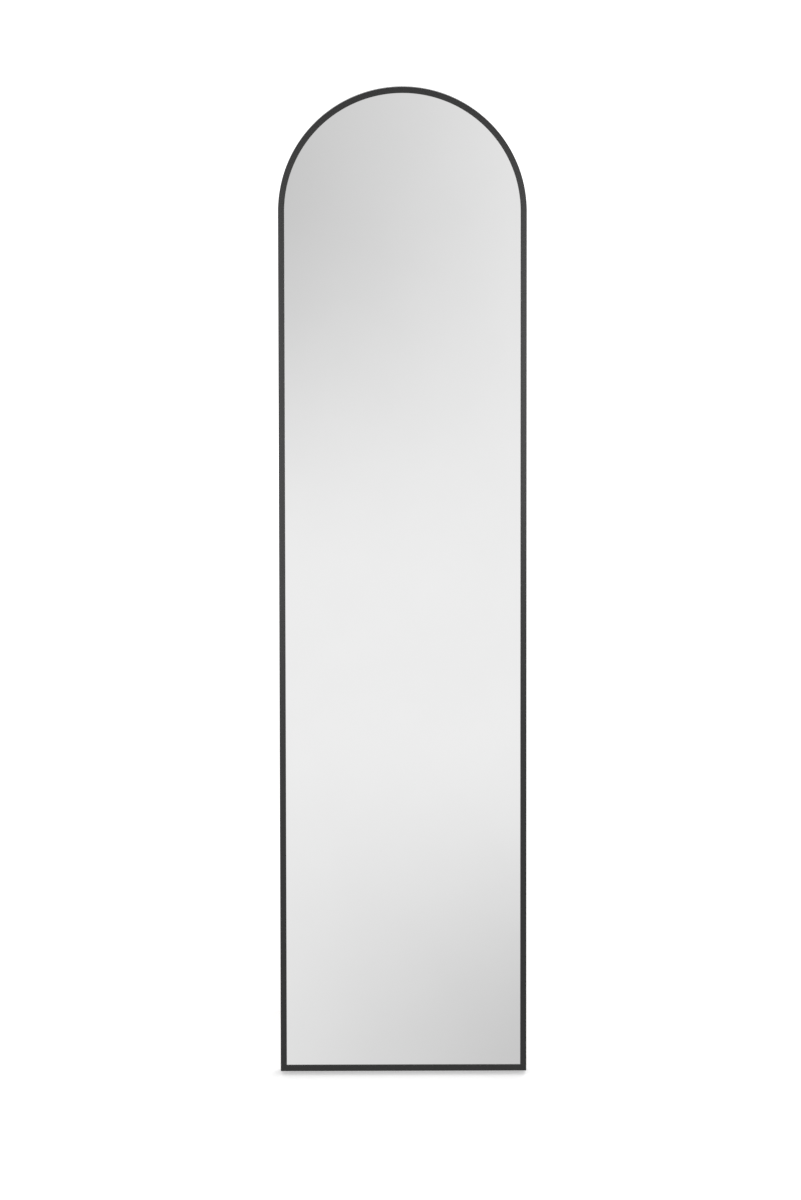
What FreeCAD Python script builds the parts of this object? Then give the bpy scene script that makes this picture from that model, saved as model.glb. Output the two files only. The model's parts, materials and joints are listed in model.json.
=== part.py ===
# Arched floor mirror: a bent aluminium frame round a glass pack, with a folding U-shaped stand behind it.
# Everything is drawn with the frame upright and the stand folded: X to the right, Y from the front face
# to the back, Z up from the frame's bottom edge. The stand is then opened, and the whole leans back until
# the frame's feet and the stand's feet lie on the floor at Z = 0, with X and Y measured from the middle
# of its plan.
import FreeCAD, Part
import math
import os

# Frame outline and extrusion, in millimetres
FRAME_WIDTH = 400.0
FRAME_HEIGHT = 1600.0
FRAME_DEPTH = 30.0
FACE_WIDTH = 10.0
LIP_THICKNESS = 1.5
PROFILE_WALL = 1.5
FACE_EDGE_RADIUS = 0.8
LIP_EDGE_RADIUS = 0.4
BACK_EDGE_RADIUS = 0.8
CHAMBER_RADIUS = 0.3
MITRE_GAP = 0.1

# Layers in the frame's groove, from front to back
TAPE_THICKNESS = 1.0
GLASS_THICKNESS = 4.0
FILM_THICKNESS = 0.2
CUSHION_THICKNESS = 3.8
PANEL_THICKNESS = 3.0
LAYER_EDGE_GAP = 1.5
GLASS_ARRIS = 0.5
TAPE_EDGE_GAP = 0.5
TAPE_LIP_MARGIN = 1.0
BLOCK_LENGTH = 60.0
BLOCK_CORNER_INSET = 70.0

# Corner keys in the extrusion's hollow chamber
KEY_LEG = 45.0
KEY_SCREW_REACH = 28.0
KEY_SCREW_DEPTH = 8.0
CHAMBER_FIT = 0.15

# Screws, with their line's distance from the frame's outer edge and the radial gap round a shank
SCREW_LINE = 5.0
SCREW_FIT = 0.05
SMALL_SCREW_DIAMETER = 3.0
SMALL_HEAD_DIAMETER = 5.6
SMALL_HEAD_HEIGHT = 2.0
SMALL_HEAD_ROUND = 1.5
BRACKET_SCREW_DIAMETER = 3.0
BRACKET_HEAD_DIAMETER = 6.9
BRACKET_HEAD_HEIGHT = 2.3
BRACKET_HEAD_ROUND = 1.8
SCREW_END = 1.0
RECESS_SPAN_SHARE = 0.54
RECESS_SLOT_SHARE = 0.14
RECESS_DEPTH_SHARE = 0.6

# Rubber pads under the frame and bumpers on its back
PAD_THICKNESS = 1.5
PAD_DEPTH = 9.0
PAD_LENGTH = 40.0
PAD_CORNER_INSET = 30.0
PAD_REAR_MARGIN = 1.0
BUMPER_DIAMETER = 8.0
BUMPER_HEIGHT = 3.0
BUMPER_ROUND = 2.2
BUMPER_CORNER_INSET = 80.0
BUMPER_ARCH_ANGLE = 60.0

# Keyhole hangers on the stiles
PLATE_MARGIN = 1.0
HANGER_GAUGE = 1.5
HANGER_BELOW_ARCH = 60.0
HANGER_LENGTH = 44.0
HANGER_ROUND = 4.0
HANGER_SCREW_PITCH = 28.0
HANGER_SCREW_LENGTH = 9.0
KEYHOLE_INSET = 20.0
KEYHOLE_RADIUS = 4.5
KEYHOLE_SLOT_RADIUS = 2.5
KEYHOLE_SLOT_RISE = 11.0
KEYHOLE_DROP = 5.0
KEYHOLE_LAND = 4.0

# Hinge brackets, with the tab that stops the stand
PIVOT_BELOW_ARCH = 350.0
BRACKET_GAUGE = 2.0
BRACKET_BEND_RADIUS = 1.6
BRACKET_LENGTH = 60.0
BRACKET_ROUND = 3.0
BRACKET_SCREW_PITCH = 44.0
EAR_GAP = 7.0
EAR_BELOW = 20.0
EAR_ABOVE = 22.0
EAR_NOSE = 11.0
EAR_ROUND = 8.0
TAB_PANEL_GAP = 1.0
TAB_WASHER_GAP = 1.5
TAB_LENGTH = 8.0
TAB_OVERHANG = 1.5
BACKING_THICKNESS = 3.0

# Pivot hardware, with the radial gap of the running fit
BOLT_DIAMETER = 6.0
BOLT_HEAD_DIAMETER = 10.5
BOLT_HEAD_HEIGHT = 3.2
BOLT_HEAD_ROUND = 2.6
BOLT_HEAD_CLEARANCE = 0.5
BOLT_END = 1.0
SOCKET_FLATS = 4.0
SOCKET_DEPTH = 2.0
PIVOT_FIT = 0.05
SIDE_PLAY = 0.1
WASHER_THICKNESS = 1.0
WASHER_DIAMETER = 13.0
NUT_FLATS = 10.0
NUT_HEX_HEIGHT = 4.5
NUT_COLLAR_HEIGHT = 1.5
NUT_COLLAR_DIAMETER = 8.6
HEX_SIDES = 6

# Folding stand
OPEN_ANGLE = 17.0
TUBE_DIAMETER = 14.0
TUBE_WALL = 1.2
BEND_RADIUS = 45.0
LUG_WIDTH = 17.0
LUG_BELOW = 16.0
LUG_TAIL = 16.0
LUG_ROUND = 5.0
NECK_LENGTH = 32.0
NECK_STEPS = 3
STOP_GAP = 0.05
FOOT_WALL = 1.5
FOOT_STANDOFF = 10.5
FOOT_SOLE_WIDTH = 13.0
FOOT_SOLE_ROUND = 1.5
FOOT_SIDE_DROP = 3.0
FOOT_SIDE_ROUND = 2.0
FOOT_LENGTH = 40.0
FOOT_BEND_GAP = 13.0
FOOT_END_CHAMFER = 0.6
FOOT_FIT = 0.05
TREAD_SPREAD = 4.4
TREAD_WIDTH = 1.0
TREAD_DEPTH = 0.6
FOLD_GAP = 1.0
FOLD_RAIL_GAP = 3.0

# How far a cutter runs past the wall that it cuts, and the least length of an edge
CUT_MARGIN = 1.0
LEAST_EDGE = 1e-6

# Places that follow from the sizes above
HALF_WIDTH = FRAME_WIDTH / 2
SPRING_Z = FRAME_HEIGHT - HALF_WIDTH
HANGER_HEIGHT_ON_FRAME = SPRING_Z - HANGER_BELOW_ARCH
PIVOT_HEIGHT = SPRING_Z - PIVOT_BELOW_ARCH
BAND_MIDDLE = FACE_WIDTH / 2
BLOCK_CENTRE_X = HALF_WIDTH - BLOCK_CORNER_INSET - BLOCK_LENGTH / 2
PAD_CENTRE_X = HALF_WIDTH - PAD_CORNER_INSET - PAD_LENGTH / 2
BUMPER_RAIL_X = HALF_WIDTH - BUMPER_CORNER_INSET
LAYER_INSET = PROFILE_WALL + LAYER_EDGE_GAP
GLASS_FRONT = LIP_THICKNESS + TAPE_THICKNESS
FILM_FRONT = GLASS_FRONT + GLASS_THICKNESS
CUSHION_FRONT = FILM_FRONT + FILM_THICKNESS
PANEL_FRONT = CUSHION_FRONT + CUSHION_THICKNESS
PANEL_BACK = PANEL_FRONT + PANEL_THICKNESS
CHAMBER_FRONT = PANEL_BACK + PROFILE_WALL
CHAMBER_BACK = FRAME_DEPTH - PROFILE_WALL
KEYHOLE_X = HALF_WIDTH - KEYHOLE_INSET
KEYHOLE_Z = HANGER_HEIGHT_ON_FRAME - KEYHOLE_DROP
HANGER_OUTER_Y = FRAME_DEPTH + HANGER_GAUGE

# The pivot's stack, from the stile's inner wall towards the middle
TUBE_RADIUS = TUBE_DIAMETER / 2
FOOT_RADIUS = TUBE_RADIUS + FOOT_WALL
PIVOT_Y = PANEL_BACK + FOLD_GAP + FOOT_RADIUS
EAR_OUTER_X = HALF_WIDTH - FACE_WIDTH - EAR_GAP
EAR_INNER_X = EAR_OUTER_X - BRACKET_GAUGE
LUG_THICKNESS = 2 * TUBE_WALL
LUG_OUTER_X = EAR_INNER_X - WASHER_THICKNESS - SIDE_PLAY
LUG_INNER_X = LUG_OUTER_X - LUG_THICKNESS
INNER_WASHER_X = LUG_INNER_X - SIDE_PLAY - WASHER_THICKNESS
NUT_END_X = INNER_WASHER_X - NUT_HEX_HEIGHT - NUT_COLLAR_HEIGHT
LEG_X = LUG_OUTER_X - TUBE_RADIUS
FOOT_CENTRE_X = LEG_X - BEND_RADIUS - FOOT_BEND_GAP - FOOT_LENGTH / 2
FLANGE_BACK = FRAME_DEPTH + BRACKET_GAUGE
TAB_FRONT = PANEL_BACK + TAB_PANEL_GAP
TAB_BACK = TAB_FRONT + BRACKET_GAUGE
TAB_LOW_Z = PIVOT_HEIGHT + WASHER_DIAMETER / 2 + TAB_WASHER_GAP
TAB_HIGH_Z = TAB_LOW_Z + TAB_LENGTH

# The stand's length lets its feet fold in above the bottom rail, and with its angle sets the mirror's lean
FOOT_REACH = math.hypot(FOOT_STANDOFF, FOOT_SOLE_WIDTH / 2)
LEG_LENGTH = PIVOT_HEIGHT - FACE_WIDTH - FOLD_RAIL_GAP - FOOT_REACH
BAR_Z = PIVOT_HEIGHT - LEG_LENGTH
NECK_TOP_Z = PIVOT_HEIGHT - LUG_BELOW
NECK_LOW_Z = NECK_TOP_Z - NECK_LENGTH
HEEL_Y = FRAME_DEPTH - PAD_REAR_MARGIN
HEEL_Z = -PAD_THICKNESS
BASE_RUN = PIVOT_Y + LEG_LENGTH * math.sin(math.radians(OPEN_ANGLE)) - HEEL_Y
BASE_RISE = PIVOT_HEIGHT - LEG_LENGTH * math.cos(math.radians(OPEN_ANGLE)) - HEEL_Z
FOOT_TILT = math.degrees(math.asin(FOOT_STANDOFF / math.hypot(BASE_RUN, BASE_RISE)))
LEAN_ANGLE = math.degrees(math.atan2(BASE_RISE, BASE_RUN)) - FOOT_TILT
STAND_SLOPE = OPEN_ANGLE - LEAN_ANGLE

ORIGIN = FreeCAD.Vector(0, 0, 0)
X_AXIS = FreeCAD.Vector(1, 0, 0)
Y_AXIS = FreeCAD.Vector(0, 1, 0)
Z_AXIS = FreeCAD.Vector(0, 0, 1)
PIVOT = FreeCAD.Vector(0, PIVOT_Y, PIVOT_HEIGHT)
FULL_TURN = 360.0
HALF_TURN = 180.0


def point(x, y, z):
    """A point in the upright frame's space."""
    return FreeCAD.Vector(x, y, z)


def mirrored(shape):
    """The same piece on the other side of the mirror's middle plane."""
    return shape.mirror(ORIGIN, X_AXIS)


def rod(radius, start, end):
    """Round solid of one radius between two points."""
    span = end - start
    return Part.makeCylinder(radius, span.Length, start, span)


def block(low, high):
    """Box between its lowest and highest corners."""
    size = high - low
    return Part.makeBox(size.x, size.y, size.z, low)


def rounded_wire(corners, place):
    """Closed wire through corners (a, b, radius) with a tangent arc at each, set in space by place(a, b)."""
    points = [FreeCAD.Vector(a, b, 0) for a, b, radius in corners]
    arcs = []
    for i, corner in enumerate(points):
        radius = corners[i][2]
        back = (points[i - 1] - corner).normalize()
        ahead = (points[(i + 1) % len(points)] - corner).normalize()
        half_angle = back.getAngle(ahead) / 2
        reach = radius / math.tan(half_angle)
        inward = (back + ahead).normalize()
        middle = corner + inward * (radius / math.sin(half_angle) - radius)
        arcs.append((corner + back * reach, middle, corner + ahead * reach))
    edges = []
    for i, (start, middle, end) in enumerate(arcs):
        if corners[i][2] > 0:
            through = [place(spot.x, spot.y) for spot in (start, middle, end)]
            edges.append(Part.Arc(*through).toShape())
        following = arcs[(i + 1) % len(arcs)][0]
        if (following - end).Length > LEAST_EDGE:
            edges.append(Part.makeLine(place(end.x, end.y), place(following.x, following.y)))
    return Part.Wire(edges)


def turned(corners, base, axis):
    """Solid of revolution from corners (radius, height along the axis, rounding)."""

    def place(radius, height):
        return base + Z_AXIS * radius + axis * height

    return Part.Face(rounded_wire(corners, place)).revolve(base, axis, FULL_TURN)


def plate_on_back(corners, thickness):
    """Sheet metal outline (x, z, radius) lying on the frame's back."""

    def place(x, z):
        return point(x, FRAME_DEPTH, z)

    return Part.Face(rounded_wire(corners, place)).extrude(Y_AXIS * thickness)


def pan_screw(diameter, head_diameter, head_height, head_round, length, seat):
    """Pan head screw driven towards the front, with its head seated at a point and a cross recess in it."""
    corners = [
        (0, -length, 0),
        (diameter / 2, -length, 0),
        (diameter / 2, 0, 0),
        (head_diameter / 2, 0, 0),
        (head_diameter / 2, head_height, head_round),
        (0, head_height, 0),
    ]
    span = head_diameter * RECESS_SPAN_SHARE / 2
    slot = head_diameter * RECESS_SLOT_SHARE / 2
    floor = head_height * (1 - RECESS_DEPTH_SHARE)
    arms = []
    for half_x, half_z in [(span, slot), (slot, span)]:
        low = seat + point(-half_x, floor, -half_z)
        arms.append(block(low, seat + point(half_x, head_height + CUT_MARGIN, half_z)))
    return turned(corners, seat, Y_AXIS).cut(arms)


def small_screw(length, seat):
    """The screw size of the corner keys and the hangers."""
    head = (SMALL_HEAD_DIAMETER, SMALL_HEAD_HEIGHT, SMALL_HEAD_ROUND)
    return pan_screw(SMALL_SCREW_DIAMETER, *head, length, seat)


def screw_hole(diameter, x, z):
    """Cutter for a screw hole through the frame's back wall and what lies on either side of it."""
    radius = diameter / 2 + SCREW_FIT
    return rod(radius, point(x, CHAMBER_FRONT, z), point(x, FLANGE_BACK + CUT_MARGIN, z))


def corner_screw_spots():
    """Middle of each corner screw on the left, one in the stile and one in the bottom rail."""
    stile_x = SCREW_LINE - HALF_WIDTH
    return [(stile_x, KEY_SCREW_REACH), (KEY_SCREW_REACH - HALF_WIDTH, SCREW_LINE)]


def bracket_screw_spots():
    """Middle of each bracket screw on the right."""
    half = BRACKET_SCREW_PITCH / 2
    return [(HALF_WIDTH - SCREW_LINE, PIVOT_HEIGHT + offset) for offset in (-half, half)]


def hanger_screw_spots():
    """Middle of each hanger screw on the right."""
    half = HANGER_SCREW_PITCH / 2
    return [(HALF_WIDTH - SCREW_LINE, HANGER_HEIGHT_ON_FRAME + offset) for offset in (-half, half)]


def profile_face(place):
    """Section of the frame extrusion: front lip, groove for the layers and hollow chamber behind them.

    place(inward, depth) sets a point in space from the distance to the outer edge and to the front face.
    """
    outline = [
        (0, 0, FACE_EDGE_RADIUS),
        (FACE_WIDTH, 0, LIP_EDGE_RADIUS),
        (FACE_WIDTH, LIP_THICKNESS, LIP_EDGE_RADIUS),
        (PROFILE_WALL, LIP_THICKNESS, 0),
        (PROFILE_WALL, PANEL_BACK, 0),
        (FACE_WIDTH, PANEL_BACK, LIP_EDGE_RADIUS),
        (FACE_WIDTH, FRAME_DEPTH, BACK_EDGE_RADIUS),
        (0, FRAME_DEPTH, BACK_EDGE_RADIUS),
    ]
    inner = FACE_WIDTH - PROFILE_WALL
    chamber = [
        (PROFILE_WALL, CHAMBER_FRONT, CHAMBER_RADIUS),
        (inner, CHAMBER_FRONT, CHAMBER_RADIUS),
        (inner, CHAMBER_BACK, CHAMBER_RADIUS),
        (PROFILE_WALL, CHAMBER_BACK, CHAMBER_RADIUS),
    ]
    wires = [rounded_wire(outline, place), rounded_wire(chamber, place)]
    return Part.makeFace(wires, "Part::FaceMakerBullseye")


def mitre_wedge(from_stile):
    """Cutter for the left bottom corner, on the stile's side of the mitre or on the rail's."""
    spare = FACE_WIDTH + CUT_MARGIN
    slip = MITRE_GAP / math.sqrt(2)
    if from_stile:
        corners = [(-spare, -spare), (spare, -spare), (spare, spare)]
        shift = slip
    else:
        corners = [(-spare, -spare), (-spare, spare), (spare, spare)]
        shift = -slip
    points = [point(a - HALF_WIDTH, -CUT_MARGIN, b + shift) for a, b in corners]
    face = Part.Face(Part.makePolygon(points + points[:1]))
    return face.extrude(Y_AXIS * (FRAME_DEPTH + 2 * CUT_MARGIN))


def frame_arch():
    """Both stiles and the round top, bent from one length of the extrusion."""

    def place(inward, depth):
        return point(inward - HALF_WIDTH, depth, SPRING_Z)

    section = profile_face(place)
    arch = section.revolve(point(0, 0, SPRING_Z), Y_AXIS, HALF_TURN)
    stile = section.extrude(Z_AXIS * -SPRING_Z).cut(mitre_wedge(True))
    frame = arch.fuse([stile, mirrored(stile)]).removeSplitter()
    holes = [screw_hole(SMALL_SCREW_DIAMETER, *corner_screw_spots()[0])]
    for x, z in bracket_screw_spots():
        holes.append(screw_hole(BRACKET_SCREW_DIAMETER, x, z))
    for x, z in hanger_screw_spots():
        holes.append(screw_hole(SMALL_SCREW_DIAMETER, x, z))
    return frame.cut(holes + [mirrored(hole) for hole in holes])


def frame_bottom_rail():
    """The extrusion along the bottom, mitred at both ends."""

    def place(inward, depth):
        return point(-HALF_WIDTH, depth, inward)

    rail = profile_face(place).extrude(X_AXIS * FRAME_WIDTH)
    wedge = mitre_wedge(False)
    hole = screw_hole(SMALL_SCREW_DIAMETER, *corner_screw_spots()[1])
    return rail.cut([wedge, mirrored(wedge), hole, mirrored(hole)])


def corner_key():
    """Left corner key: an L that fills the chamber on both sides of the mitre."""
    low = PROFILE_WALL + CHAMBER_FIT
    high = FACE_WIDTH - PROFILE_WALL - CHAMBER_FIT
    corners = [
        (low, low, 0),
        (KEY_LEG, low, 0),
        (KEY_LEG, high, 0),
        (high, high, 0),
        (high, KEY_LEG, 0),
        (low, KEY_LEG, 0),
    ]

    def place(across, up):
        return point(across - HALF_WIDTH, CHAMBER_FRONT + CHAMBER_FIT, up)

    depth = CHAMBER_BACK - CHAMBER_FRONT - 2 * CHAMBER_FIT
    key = Part.Face(rounded_wire(corners, place)).extrude(Y_AXIS * depth)
    return key.cut([screw_hole(SMALL_SCREW_DIAMETER, x, z) for x, z in corner_screw_spots()])


def arch_wire(inset, y):
    """The frame's outline moved inwards by an inset: flat bottom, upright sides and a half round top."""
    side = HALF_WIDTH - inset
    left_foot = point(-side, y, inset)
    right_foot = point(side, y, inset)
    left_spring = point(-side, y, SPRING_Z)
    right_spring = point(side, y, SPRING_Z)
    crown = point(0, y, SPRING_Z + side)
    bottom = Part.makeLine(left_foot, right_foot)
    right = Part.makeLine(right_foot, right_spring)
    top = Part.Arc(right_spring, crown, left_spring).toShape()
    left = Part.makeLine(left_spring, left_foot)
    return Part.Wire([bottom, right, top, left])


def layer(inset, front, thickness):
    """Arched sheet of the glass pack."""
    return Part.Face(arch_wire(inset, front)).extrude(Y_AXIS * thickness)


def mirror_glass():
    """Silvered float glass with its edges ground to a small arris."""
    sheet = layer(LAYER_INSET, GLASS_FRONT, GLASS_THICKNESS)
    rims = [edge for edge in sheet.Edges if edge.BoundBox.YLength < LEAST_EDGE]
    return sheet.makeChamfer(GLASS_ARRIS, rims)


def bedding_tape():
    """Closed loop of tape between the frame's lip and the glass."""
    outer = layer(LAYER_INSET + TAPE_EDGE_GAP, LIP_THICKNESS, TAPE_THICKNESS)
    return outer.cut(layer(FACE_WIDTH - TAPE_LIP_MARGIN, LIP_THICKNESS, TAPE_THICKNESS))


def setting_blocks():
    """Two rubber blocks in the bottom rail's groove, which carry the glass pack."""
    half = BLOCK_LENGTH / 2
    low = point(BLOCK_CENTRE_X - half, GLASS_FRONT, PROFILE_WALL)
    high = point(BLOCK_CENTRE_X + half, PANEL_BACK, LAYER_INSET)
    right = block(low, high)
    return Part.makeCompound([mirrored(right), right])


def frame_foot():
    """Right rubber pad under the bottom rail, with its sole cut to the mirror's lean."""
    front = HEEL_Y - PAD_DEPTH
    drop = HEEL_Z - PAD_DEPTH * math.tan(math.radians(LEAN_ANGLE))
    corners = [(front, 0), (HEEL_Y, 0), (HEEL_Y, HEEL_Z), (front, drop)]
    points = [point(PAD_CENTRE_X - PAD_LENGTH / 2, y, z) for y, z in corners]
    return Part.Face(Part.makePolygon(points + points[:1])).extrude(X_AXIS * PAD_LENGTH)


def wall_bumpers():
    """Four round bumpers on the frame's back, two on the arch and two on the bottom rail."""
    middle_radius = HALF_WIDTH - BAND_MIDDLE
    angle = math.radians(BUMPER_ARCH_ANGLE)
    arch_x = middle_radius * math.cos(angle)
    arch_z = SPRING_Z + middle_radius * math.sin(angle)
    corners = [
        (0, 0, 0),
        (BUMPER_DIAMETER / 2, 0, 0),
        (BUMPER_DIAMETER / 2, BUMPER_HEIGHT, BUMPER_ROUND),
        (0, BUMPER_HEIGHT, 0),
    ]
    bumpers = []
    for x, z in [(arch_x, arch_z), (BUMPER_RAIL_X, BAND_MIDDLE)]:
        bumper = turned(corners, point(x, FRAME_DEPTH, z), Y_AXIS)
        bumpers += [mirrored(bumper), bumper]
    return Part.makeCompound(bumpers)


def wall_hanger():
    """Right keyhole hanger, which overhangs the recess so that a wall screw's head has room behind it."""
    inner_x = KEYHOLE_X - KEYHOLE_RADIUS - KEYHOLE_LAND
    outer_x = HALF_WIDTH - PLATE_MARGIN
    low_z = HANGER_HEIGHT_ON_FRAME - HANGER_LENGTH / 2
    high_z = HANGER_HEIGHT_ON_FRAME + HANGER_LENGTH / 2
    corners = [
        (inner_x, low_z, HANGER_ROUND),
        (outer_x, low_z, PLATE_MARGIN),
        (outer_x, high_z, PLATE_MARGIN),
        (inner_x, high_z, HANGER_ROUND),
    ]
    plate = plate_on_back(corners, HANGER_GAUGE)
    front = FRAME_DEPTH - CUT_MARGIN
    back = HANGER_OUTER_Y + CUT_MARGIN
    slot_top = KEYHOLE_Z + KEYHOLE_SLOT_RISE
    entry = rod(KEYHOLE_RADIUS, point(KEYHOLE_X, front, KEYHOLE_Z), point(KEYHOLE_X, back, KEYHOLE_Z))
    slot_end = rod(KEYHOLE_SLOT_RADIUS, point(KEYHOLE_X, front, slot_top), point(KEYHOLE_X, back, slot_top))
    slot_low = point(KEYHOLE_X - KEYHOLE_SLOT_RADIUS, front, KEYHOLE_Z)
    slot = block(slot_low, point(KEYHOLE_X + KEYHOLE_SLOT_RADIUS, back, slot_top))
    screws = [screw_hole(SMALL_SCREW_DIAMETER, x, z) for x, z in hanger_screw_spots()]
    return plate.cut([entry, slot, slot_end] + screws)


def hinge_bracket():
    """Right bracket: a flange on the stile's back, an ear for the pivot and a tab that stops the stand."""
    low_z = PIVOT_HEIGHT - BRACKET_LENGTH / 2
    high_z = PIVOT_HEIGHT + BRACKET_LENGTH / 2
    outer_x = HALF_WIDTH - PLATE_MARGIN
    flange_corners = [
        (EAR_INNER_X, low_z, 0),
        (outer_x, low_z, BRACKET_ROUND),
        (outer_x, high_z, BRACKET_ROUND),
        (EAR_INNER_X, high_z, 0),
    ]
    ear_corners = [
        (FLANGE_BACK, PIVOT_HEIGHT - EAR_BELOW, 0),
        (FLANGE_BACK, PIVOT_HEIGHT + EAR_ABOVE, 0),
        (TAB_FRONT, TAB_HIGH_Z, 0),
        (TAB_FRONT, PIVOT_HEIGHT - EAR_NOSE, EAR_ROUND),
    ]

    def place_ear(y, z):
        return point(EAR_INNER_X, y, z)

    flange = plate_on_back(flange_corners, BRACKET_GAUGE)
    ear = Part.Face(rounded_wire(ear_corners, place_ear)).extrude(X_AXIS * BRACKET_GAUGE)
    tab_low = point(LUG_INNER_X - TAB_OVERHANG, TAB_FRONT, TAB_LOW_Z)
    tab = block(tab_low, point(EAR_OUTER_X, TAB_BACK, TAB_HIGH_Z))
    bracket = flange.fuse([ear, tab]).removeSplitter()
    bends = []
    for edge in bracket.Edges:
        middle = edge.CenterOfMass
        along_z = edge.BoundBox.XLength < LEAST_EDGE and edge.BoundBox.YLength < LEAST_EDGE
        flange_bend = abs(middle.x - EAR_INNER_X) < LEAST_EDGE and abs(middle.y - FLANGE_BACK) < LEAST_EDGE
        tab_bend = abs(middle.x - EAR_OUTER_X) < LEAST_EDGE and abs(middle.y - TAB_FRONT) < LEAST_EDGE
        if along_z and (flange_bend or tab_bend):
            bends.append(edge)
    bracket = bracket.makeFillet(BRACKET_BEND_RADIUS, bends)
    pivot_start = point(EAR_INNER_X - CUT_MARGIN, PIVOT_Y, PIVOT_HEIGHT)
    pivot_end = point(EAR_OUTER_X + CUT_MARGIN, PIVOT_Y, PIVOT_HEIGHT)
    head_start = point(EAR_OUTER_X, PIVOT_Y, PIVOT_HEIGHT)
    head_room = rod(BOLT_HEAD_DIAMETER / 2 + BOLT_HEAD_CLEARANCE, head_start, head_start + X_AXIS * EAR_GAP)
    holes = [rod(BOLT_DIAMETER / 2 + PIVOT_FIT, pivot_start, pivot_end), head_room]
    for x, z in bracket_screw_spots():
        holes.append(screw_hole(BRACKET_SCREW_DIAMETER, x, z))
    return bracket.cut(holes)


def hinge_backing_bar():
    """Right steel bar in the stile's chamber, tapped for the bracket's screws."""
    side = PROFILE_WALL + CHAMBER_FIT
    half = BRACKET_LENGTH / 2
    low = point(HALF_WIDTH - FACE_WIDTH + side, CHAMBER_BACK - BACKING_THICKNESS, PIVOT_HEIGHT - half)
    high = point(HALF_WIDTH - side, CHAMBER_BACK, PIVOT_HEIGHT + half)
    bar = block(low, high)
    upright_edges = [edge for edge in bar.Edges if edge.BoundBox.ZLength > half]
    bar = bar.makeFillet(CHAMBER_RADIUS, upright_edges)
    holes = [screw_hole(BRACKET_SCREW_DIAMETER, x, z) for x, z in bracket_screw_spots()]
    return bar.cut(holes)


def corner_screws():
    """One screw in each leg of each corner key."""
    length = PROFILE_WALL + KEY_SCREW_DEPTH
    left = [small_screw(length, point(x, FRAME_DEPTH, z)) for x, z in corner_screw_spots()]
    return Part.makeCompound(left + [mirrored(screw) for screw in left])


def hanger_screws():
    """Two screws for each hanger."""
    right = [small_screw(HANGER_SCREW_LENGTH, point(x, HANGER_OUTER_Y, z)) for x, z in hanger_screw_spots()]
    return Part.makeCompound([mirrored(screw) for screw in right] + right)


def bracket_screws():
    """Two screws for each hinge bracket, long enough to pass the backing bar."""
    length = BRACKET_GAUGE + PROFILE_WALL + BACKING_THICKNESS + SCREW_END
    head = (BRACKET_HEAD_DIAMETER, BRACKET_HEAD_HEIGHT, BRACKET_HEAD_ROUND)
    right = []
    for x, z in bracket_screw_spots():
        right.append(pan_screw(BRACKET_SCREW_DIAMETER, *head, length, point(x, FLANGE_BACK, z)))
    return Part.makeCompound([mirrored(screw) for screw in right] + right)


def hex_bar(flats, start_x, end_x):
    """Six-sided bar along the pivot axis."""
    corner_radius = flats / 2 / math.cos(math.pi / HEX_SIDES)
    points = []
    for i in range(HEX_SIDES):
        angle = 2 * math.pi * i / HEX_SIDES
        offset = point(start_x, corner_radius * math.cos(angle), corner_radius * math.sin(angle))
        points.append(offset + PIVOT)
    return Part.Face(Part.makePolygon(points + points[:1])).extrude(X_AXIS * (end_x - start_x))


def pivot_bolt():
    """Right pivot bolt, with its socketed button head between the bracket's ear and the stile."""
    length = EAR_OUTER_X - NUT_END_X + BOLT_END
    corners = [
        (0, -length, 0),
        (BOLT_DIAMETER / 2, -length, 0),
        (BOLT_DIAMETER / 2, 0, 0),
        (BOLT_HEAD_DIAMETER / 2, 0, 0),
        (BOLT_HEAD_DIAMETER / 2, BOLT_HEAD_HEIGHT, BOLT_HEAD_ROUND),
        (0, BOLT_HEAD_HEIGHT, 0),
    ]
    head_end_x = EAR_OUTER_X + BOLT_HEAD_HEIGHT
    socket = hex_bar(SOCKET_FLATS, head_end_x - SOCKET_DEPTH, head_end_x + CUT_MARGIN)
    return turned(corners, point(EAR_OUTER_X, PIVOT_Y, PIVOT_HEIGHT), X_AXIS).cut(socket)


def ring(outer_radius, inner_radius, start_x, end_x):
    """Ring round the pivot axis."""
    start = point(start_x, PIVOT_Y, PIVOT_HEIGHT)
    end = point(end_x, PIVOT_Y, PIVOT_HEIGHT)
    return rod(outer_radius, start, end).cut(rod(inner_radius, start, end))


def pivot_washers():
    """Nylon washers on both sides of each flattened stand end."""
    hole = BOLT_DIAMETER / 2 + PIVOT_FIT
    right = []
    for start_x in (EAR_INNER_X - WASHER_THICKNESS, INNER_WASHER_X):
        right.append(ring(WASHER_DIAMETER / 2, hole, start_x, start_x + WASHER_THICKNESS))
    return Part.makeCompound([mirrored(washer) for washer in right] + right)


def pivot_nut():
    """Right lock nut: a hexagon with a round collar at its free end."""
    hole = BOLT_DIAMETER / 2 + PIVOT_FIT
    hex_start_x = INNER_WASHER_X - NUT_HEX_HEIGHT
    hexagon = hex_bar(NUT_FLATS, hex_start_x, INNER_WASHER_X)
    collar = rod(NUT_COLLAR_DIAMETER / 2, PIVOT + X_AXIS * NUT_END_X, PIVOT + X_AXIS * hex_start_x)
    bore_start = PIVOT + X_AXIS * (NUT_END_X - CUT_MARGIN)
    bore = rod(hole, bore_start, PIVOT + X_AXIS * (INNER_WASHER_X + CUT_MARGIN))
    return hexagon.fuse(collar).cut(bore)


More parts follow.
